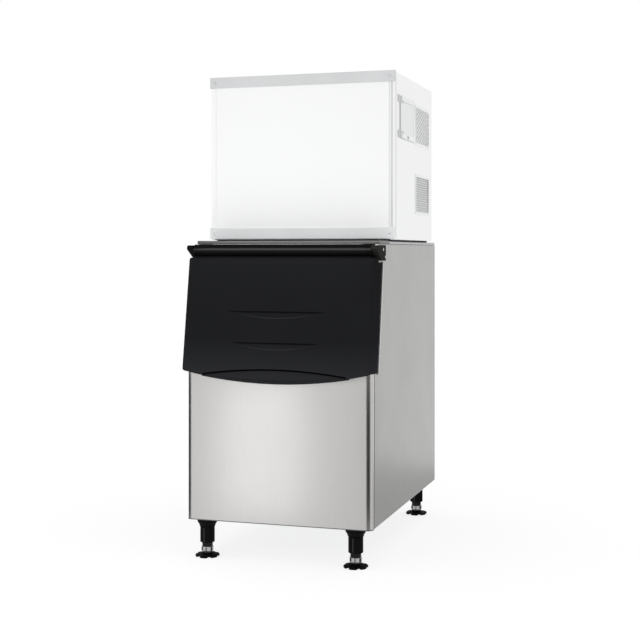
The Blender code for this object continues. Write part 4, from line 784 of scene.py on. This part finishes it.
def pan_screw(name, place, direction, radius, height, node_name, finish):
    """A pan head at a place on a surface, facing a direction."""
    rings = 14
    profile = [(radius * step / rings, height * math.sqrt(1 - 0.62 * (step / rings) ** 2))
               for step in range(rings)]
    profile += [(radius, height * 0.45), (radius * 0.985, height * 0.1), (radius * 0.9, -0.0002),
                (0.0, -0.0002)]
    bm = spun(profile, 64)
    arm = radius * 0.15
    reach = radius * 0.62
    for vert in bm.verts:
        across = min(abs(vert.co.x), abs(vert.co.y))
        along = max(abs(vert.co.x), abs(vert.co.y))
        if vert.co.z > height * 0.5 and across < arm and along < reach:
            vert.co.z -= height * 0.55 * (1 - 0.5 * along / reach)
    turn = Vector((0, 0, 1)).rotation_difference(Vector(direction)).to_matrix()
    spin = Matrix.Rotation(math.radians(25 + 40 * len(name)), 3, "Z")
    bmesh.ops.rotate(bm, cent=(0, 0, 0), matrix=turn @ spin, verts=bm.verts)
    bmesh.ops.translate(bm, vec=place, verts=bm.verts)
    return settle(new_object(name, bm), node_name, finish)


trim_screw_x = 0.2775
for trim_name in ("trim_bottom", "trim_top"):
    low, high = box_of(trim_name)
    for word, sign in (("left", -1), ("right", 1)):
        place = (sign * trim_screw_x, low.y, (low.z + high.z) / 2)
        pan_screw(trim_name + "_screw_" + word, place, (0, -1, 0), 0.0036, 0.0017, trim_name, "chrome")

# %% [markdown]
# ## The legs
#
# Each leg is a moulded tube with a flared flange, a chromed adjuster with a hexagon for the
# spanner, and a wide pad with six lobes. The tube and the adjuster's rod are turned shapes: a
# profile spun round the leg's axis. The hexagon is a six-sided prism with rounded edges. The pad
# is a stack of rings: the wide ones are drawn in, and the lowest raised, where two lobes meet. A
# paler strip down each tube is a painted highlight, a lamp's reflection. The corners of the
# hexagon are painted darker, as painted shade between its faces.

# %% Turned legs
leg_places = {}
for corner in corners:
    low, high = box_of("leg_" + corner)
    leg_places[corner] = ((low.x + high.x) / 2, (low.y + high.y) / 2)

leg_top = box_of("leg_front_left")[1].z
leg_bottom = box_of("leg_front_left")[0].z
leg_profile = [
    (0.0, leg_top), (0.0288, leg_top), (0.0294, leg_top - 0.0006), (0.0294, leg_top - 0.0074),
    (0.0288, leg_top - 0.0086), (0.0264, leg_top - 0.0118), (0.0241, leg_top - 0.0154),
    (0.0230, leg_top - 0.0184), (0.0227, leg_top - 0.0194), (0.0231, leg_top - 0.0200),
    (0.0231, leg_top - 0.0208), (0.0225, leg_top - 0.0214), (0.0216, leg_top - 0.0219),
    (0.0212, leg_top - 0.0232), (0.0212, leg_bottom + 0.0010), (0.0209, leg_bottom + 0.0003),
    (0.0203, leg_bottom), (0.0168, leg_bottom), (0.0162, leg_bottom + 0.0006), (0.0162, leg_top - 0.0100),
    (0.0, leg_top - 0.0100),
]
for corner, (x, y) in leg_places.items():
    bm = spun(leg_profile, 72)
    bmesh.ops.translate(bm, vec=(x, y, 0), verts=bm.verts)
    leg = settle(new_object("leg_" + corner + "_turned", bm), "leg_" + corner)
    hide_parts("leg_" + corner)
    # Painted highlight: a paler strip down the tube's left side.
    plain_bar("leg_highlight_streak_" + corner, (x - 0.0036, y - 0.0215, leg_bottom + 0.002),
              (x - 0.0012, y - 0.0195, leg_top - 0.025), 0.0004, "leg_" + corner, "leg_highlight_black")
print("legs:", len(leg_places), "of", len(leg.data.polygons), "faces")

# %% Adjusters with a hexagon
stem_low, stem_high = box_of("stem_front_left")
hex_low = 0.0165
hex_high = 0.0292
hex_flats = 0.0315
hex_turn = -82
thread_radius, thread_root, thread_pitch = 0.0158, 0.0142, 0.0024


def hexagon_nut(bm, x, y, low, high):
    corner_radius = hex_flats / 2 / math.cos(math.pi / 6)
    made = bmesh.ops.create_circle(bm, cap_ends=True, segments=6, radius=corner_radius)["verts"]
    base = made[0].link_faces[0]
    grown = bmesh.ops.extrude_face_region(bm, geom=[base])["geom"]
    top = [item for item in grown if isinstance(item, bmesh.types.BMVert)]
    bmesh.ops.translate(bm, vec=(0, 0, high - low), verts=top)
    turn = Matrix.Rotation(math.radians(hex_turn), 3, "Z")
    bmesh.ops.rotate(bm, cent=(0, 0, 0), matrix=turn, verts=bm.verts)
    bmesh.ops.translate(bm, vec=(x, y, low), verts=made + top)
    bmesh.ops.recalc_face_normals(bm, faces=bm.faces)
    rims = [edge for edge in bm.edges if abs(edge.verts[0].co.z - edge.verts[1].co.z) < 0.00001]
    round_edges(bm, rims, 0.0009, 2)
    round_edges(bm, sharp_edges(bm, 50), 0.0006, 3)


for corner, (x, y) in leg_places.items():
    bm = bmesh.new()
    hexagon_nut(bm, x, y, hex_low, hex_high)
    nut = settle(new_object("nut_" + corner, bm), "stem_" + corner, "nut_chrome")
    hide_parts("stem_" + corner)
    # Painted shade: dark strips on the hexagon's six corners.
    bm = bmesh.new()
    for step in range(6):
        made = bmesh.ops.create_cube(bm, size=1.0)["verts"]
        bmesh.ops.scale(bm, vec=(0.0018, 0.0026, hex_high - hex_low - 0.0016), verts=made)
        bmesh.ops.translate(bm, vec=(0.01705, 0, (hex_low + hex_high) / 2), verts=made)
        turn = Matrix.Rotation(math.radians(60 * step + hex_turn), 3, "Z")
        bmesh.ops.rotate(bm, cent=(0, 0, 0), matrix=turn, verts=made)
    bmesh.ops.translate(bm, vec=(x, y, 0), verts=bm.verts)
    round_edges(bm, bm.edges[:], 0.0003, 2)
    settle(new_object("nut_corner_shade_" + corner, bm), "stem_" + corner, "dark_chrome_and_corner_shade")
    profile = [(0.0, stem_low.z), (0.0145, stem_low.z), (0.0150, stem_low.z + 0.0005),
               (0.0150, hex_low + 0.0002), (0.0130, hex_low + 0.0002), (0.0130, hex_high - 0.0002),
               (0.0160, hex_high - 0.0002)]
    height = hex_high + 0.0006
    while height < stem_high.z - 0.004:
        profile += [(thread_radius, height), (thread_radius, height + 0.0005), (thread_root, height + 0.0013),
                    (thread_root, height + 0.0016)]
        height += thread_pitch
    profile += [(0.0145, stem_high.z - 0.001), (0.0135, stem_high.z), (0.0, stem_high.z)]
    bm = spun(profile, 64)
    bmesh.ops.translate(bm, vec=(x, y, 0), verts=bm.verts)
    rod = settle(new_object("threaded_rod_" + corner, bm), "stem_" + corner, "dark_chrome_and_corner_shade")
print("adjusters:", len(nut.data.polygons), "and", len(rod.data.polygons), "faces")

# %% Pads with six lobes
pad_top = box_of("foot_front_left")[1].z
pad_steps = 120
lobe_depth, arch_height, arch_below = 0.0050, 0.0030, 0.003
pad_rings = ((0.0335, 0.0, 1.0), (0.0346, 0.0008, 1.0), (0.0350, 0.0020, 1.0), (0.0350, 0.0050, 1.0),
             (0.0346, 0.0062, 1.0), (0.0335, 0.0070, 0.9), (0.0280, 0.0082, 0.4), (0.0212, 0.0098, 0.0),
             (0.0190, 0.0110, 0.0), (0.0176, pad_top - 0.0003, 0.0), (0.0165, pad_top, 0.0))

for corner, (x, y) in leg_places.items():
    bm = bmesh.new()
    loops = []
    for radius, height, share in pad_rings:
        loop = []
        for step in range(pad_steps):
            angle = 2 * math.pi * step / pad_steps
            notch = max(0.0, math.cos(6 * angle)) ** 2
            far = radius - lobe_depth * share * notch
            arch = arch_height * notch if height < arch_below else 0.0
            loop.append(bm.verts.new((x + far * math.cos(angle), y + far * math.sin(angle), height + arch)))
        loops.append([bm.edges.new((loop[step - 1], loop[step])) for step in range(pad_steps)])
    for lower, upper in zip(loops, loops[1:]):
        bmesh.ops.bridge_loops(bm, edges=lower + upper)
    bmesh.ops.holes_fill(bm, edges=loops[0] + loops[-1])
    bmesh.ops.recalc_face_normals(bm, faces=bm.faces)
    pad = settle(new_object("pad_" + corner, bm), "foot_" + corner)
    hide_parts("foot_" + corner)
print("pads:", len(pad.data.polygons), "faces each")

# %% [markdown]
# ## The door
#
# The door is one deep moulding: a sloping face, flanges at the sides, an arched lower edge with a
# finger pull, two smile-shaped recesses, and a barrel along the top that turns on the pins. The
# solid has that whole shape, so its copy only needs rounder edges.

# %% The door and its brackets
for name in ("door_shell", "door_liner", "hinge_bracket_left", "hinge_bracket_right"):
    refine(name, 0.0005)

# %% [markdown]
# Under the arched line of the finger pull the recess lies in shade below its ledge, and that
# shade is painted: a matt black strip follows the arch just below the ledge.

# %% Painted shade under the ledge of the finger pull
door_low = box_of("door_shell")[0]
door_foot_z = 0.545
face_slope = 0.056 / 0.3335
pull_crown = door_low.z + 0.044
pull_width, pull_half, pull_drop = 0.428, 0.215, 0.016
pull_recess, pull_reach = 0.007, 0.041


def door_face_y(z):
    """The door's face, from the lowest point up its even slope."""
    return door_low.y + 0.0002 + (z - door_foot_z) * face_slope


bm = bmesh.new()
bmesh.ops.create_grid(bm, x_segments=72, y_segments=4, size=0.5)
for vert in bm.verts:
    across = vert.co.x * pull_width
    z = pull_crown - pull_drop * (across / pull_half) ** 2 - 0.0003 + (vert.co.y - 0.5) * 0.0046
    recess = pull_recess * (1 - (pull_crown - z) / pull_reach)
    vert.co = (across, door_face_y(z) + recess - 0.0004, z)
bmesh.ops.recalc_face_normals(bm, faces=bm.faces)
bmesh.ops.solidify(bm, geom=bm.faces[:], thickness=0.0008)
pull_shade_strip = settle(new_object("pull_painted_shade", bm), "door_shell", "pull_shade_black")
print("undercut:", len(pull_shade_strip.data.polygons), "faces")

# %% [markdown]
# The two smile-shaped recesses are scoops: deepest under their straight upper edge, and running
# out to nothing along the curved lower one. The solid's cuts deepen towards the curve instead and
# reach through the skin there, so each gets its scooped floor here, as one smooth sheet.
# Each recess also gets two thin sheets of painted light: a near-black line of painted shade under the
# straight edge, and a paler line of painted highlight along the curve.

# %% The floors of the smile recesses, with their painted shade and highlight
def smile_sheet(name, width, rise, columns, rows, wall, place, finish=None):
    """A thin sheet in a smile. A function gives each grid point its height and its depth in the face,
    from its own place in the grid and the smile's drop there."""
    radius = (width * width / 4 + rise * rise) / (2 * rise)
    bm = bmesh.new()
    bmesh.ops.create_grid(bm, x_segments=columns, y_segments=rows, size=0.5)
    for vert in bm.verts:
        u, v = vert.co.x, vert.co.y
        across, z, sink = place(u, v, lambda x: math.sqrt(radius * radius - x * x) - (radius - rise))
        vert.co = (across, door_face_y(z) + sink, z)
    bmesh.ops.remove_doubles(bm, verts=bm.verts, dist=0.000002)
    bmesh.ops.recalc_face_normals(bm, faces=bm.faces)
    if sum(face.normal.y for face in bm.faces) > 0:
        bmesh.ops.reverse_faces(bm, faces=bm.faces)
    bmesh.ops.solidify(bm, geom=bm.faces[:], thickness=wall)
    return settle(new_object(name, bm), "door_shell", finish)


smile_depth = 0.0026


def smile(word, top_z, width, rise):
    """The scooped floor, a line of painted shade right under its straight edge, and a painted highlight along
    its curve.
    """

    def scoop(share, drop):
        return smile_depth * (1 - share) ** 1.4 * (drop / rise) ** 0.6

    def floor_place(u, v, drop_at):
        across = u * width
        drop = drop_at(across)
        return across, top_z - 0.0001 - (0.5 - v) * drop, 0.00005 + scoop(0.5 - v, drop)

    def shadow_place(u, v, drop_at):
        across = u * width * 0.94
        drop = drop_at(across)
        fall = (0.5 - v) * min(0.0042, 0.5 * drop)
        return across, top_z - 0.0001 - fall, scoop(fall / drop, drop) - 0.0001

    def lip_place(u, v, drop_at):
        across = u * width * 0.80
        thick = 0.0018 * max(0.15, 1 - (abs(u) * 2) ** 3)
        return across, top_z - drop_at(across) + v * thick, -0.00025 * math.cos(v * math.pi)

    floor_sheet = smile_sheet(word + "_smile_floor", width, rise, 96, 16, 0.0012, floor_place)
    smile_sheet(word + "_smile_shadow", width, rise, 72, 2, 0.0003, shadow_place, "shade_black")
    smile_sheet(word + "_smile_highlight", width, rise, 72, 6, 0.0006, lip_place, "smile_edge_highlight_black")
    print(floor_sheet.name, len(floor_sheet.data.polygons), "faces")


smile("upper", 0.7204, 0.304, 0.0190)
smile("lower", 0.6317, 0.272, 0.0196)

# %% Screws of both brackets, placed from the door's hinge line
hinge_y, hinge_z = -0.35512, 0.895
for word, sign in (("left", -1), ("right", 1)):
    name = "hinge_bracket_" + word
    low, high = box_of(name)
    face = high.x if sign > 0 else low.x
    for number, (back, drop, size) in enumerate(((0.0530, 0.0020, 0.0046), (0.0760, -0.0195, 0.0042))):
        place = (face, hinge_y + back, hinge_z + drop)
        pan_screw(name + "_screw_" + str(number), place, (sign, 0, 0), size, 0.0016, name, "chrome")
print("bracket screws done")

# %% [markdown]
# ## Air inlets
#
# The slats keep drips out and a pale filter lies behind them. The filter is a sheet with a
# pattern of small holes in staggered rows, which looks woven between the slats. The holes are far
# too many to cut, so they are drawn by a brick pattern that also lowers them.

# %% The filters behind the slats
def filter_mesh(name, light, dark, hole_width=0.0062, row_height=0.0037):
    surface, tree, shader = new_surface(name, specular=0.2)
    place = tree.nodes.new("ShaderNodeTexCoord")
    turn = tree.nodes.new("ShaderNodeMapping")
    holes = tree.nodes.new("ShaderNodeTexBrick")
    connect(tree, turn, Vector=place.outputs["Object"], Rotation=(0.0, -math.pi / 2, -math.pi / 2))
    connect(tree, holes, Vector=turn.outputs["Vector"], Scale=1.0, Brick_Width=hole_width,
            Row_Height=row_height, Mortar_Size=0.0006, Mortar_Smooth=0.3, Color1=dark, Color2=dark,
            Mortar=light)
    connect(tree, shader, Base_Color=holes.outputs["Color"],
            Roughness=spread(tree, noise(tree, 200.0), 0.55, 0.7),
            Normal=bump(tree, holes.outputs["Fac"], 0.0004, 0.5))
    return surface


finishes["filter_pale"] = filter_mesh("filter_pale", (0.84, 0.84, 0.845), (0.42, 0.425, 0.43))
filter_x = 0.2882
filter_border = 0.014
for name in ("vent_upper", "vent_lower"):
    refine(name, 0.0002, 1)
    low, high = box_of(name)
    bm = bmesh.new()
    bmesh.ops.create_grid(bm, x_segments=1, y_segments=1, size=0.5)
    size = (high.z - low.z - filter_border, high.y - low.y - filter_border, 1.0)
    bmesh.ops.scale(bm, vec=size, verts=bm.verts)
    bmesh.ops.rotate(bm, cent=(0, 0, 0), matrix=Matrix.Rotation(math.pi / 2, 3, "Y"), verts=bm.verts)
    bmesh.ops.translate(bm, vec=(filter_x, (low.y + high.y) / 2, (low.z + high.z) / 2), verts=bm.verts)
    bmesh.ops.solidify(bm, geom=bm.faces[:], thickness=0.0005)
    settle(new_object(name + "_filter", bm), name, "filter_pale")
print("filters at x =", filter_x)

# %% [markdown]
# The upper inlet is a grille of short slots in staggered rows: between each two slats there are
# upright ribs, and every second row is shifted by half a slot.

# %% Ribs of the upper inlet
low, high = box_of("vent_upper")
pitch = 0.00733
slot = 0.0285
rib_width = 0.0085
rib_margin = 0.012
bm = bmesh.new()
row = 0
z = low.z + 0.0085 + pitch / 2
while z < high.z - 0.009:
    y = low.y + rib_margin + (slot / 2 if row % 2 else 0.0)
    while y < high.y - rib_margin:
        made = bmesh.ops.create_cube(bm, size=1.0)["verts"]
        bmesh.ops.scale(bm, vec=(0.0030, rib_width, pitch * 0.96), verts=made)
        bmesh.ops.translate(bm, vec=(0.2898, y, z), verts=made)
        y += slot
    row += 1
    z += pitch
round_edges(bm, bm.edges[:], 0.0006, 2)
ribs = settle(new_object("vent_upper_ribs", bm), "vent_upper")
print(row, "rows of ribs,", len(ribs.data.polygons), "faces")

# %% [markdown]
# ## The control cover
#
# The cover has two rails that stand proud at its top and bottom, and its small flat latch sits
# on the lower rail. The bar that it turns on is held by a block at each end, and grips the cover
# with a leaf beside each block.

# %% Rails, latch and hinge blocks of the control cover
cover_low, cover_high = box_of("control_cover")
face = cover_high.x
rail_height = 0.0125
for word, base in (("top", cover_high.z - rail_height - 0.0006), ("bottom", cover_low.z + 0.0006)):
    plain_bar("cover_rail_" + word, (face - 0.0004, cover_low.y + 0.004, base),
              (face + 0.0008, cover_high.y - 0.001, base + rail_height), 0.00035, "control_cover")

for word, base in (("top", cover_high.z - 0.0205), ("bottom", cover_low.z - 0.0005)):
    plain_bar("cover_hinge_end_" + word, (0.2902, -0.1345, base), (0.2925, -0.1176, base + 0.0215), 0.0012,
              "head_side_right", "bar_grey")

for word, base in (("top", cover_high.z - 0.0205), ("bottom", cover_low.z + 0.0006)):
    plain_bar("cover_hinge_leaf_" + word, (face + 0.0002, cover_low.y + 0.0012, base),
              (0.2943, cover_low.y + 0.0300, base + 0.0198), 0.00035, "control_cover", "bar_grey")

plain_bar("cover_latch", (face + 0.0002, -0.0300, cover_low.z + 0.0022),
          (0.2944, -0.0060, cover_low.z + 0.0112), 0.00035, "control_cover", "latch_grey")
print("cover rails and latch done")
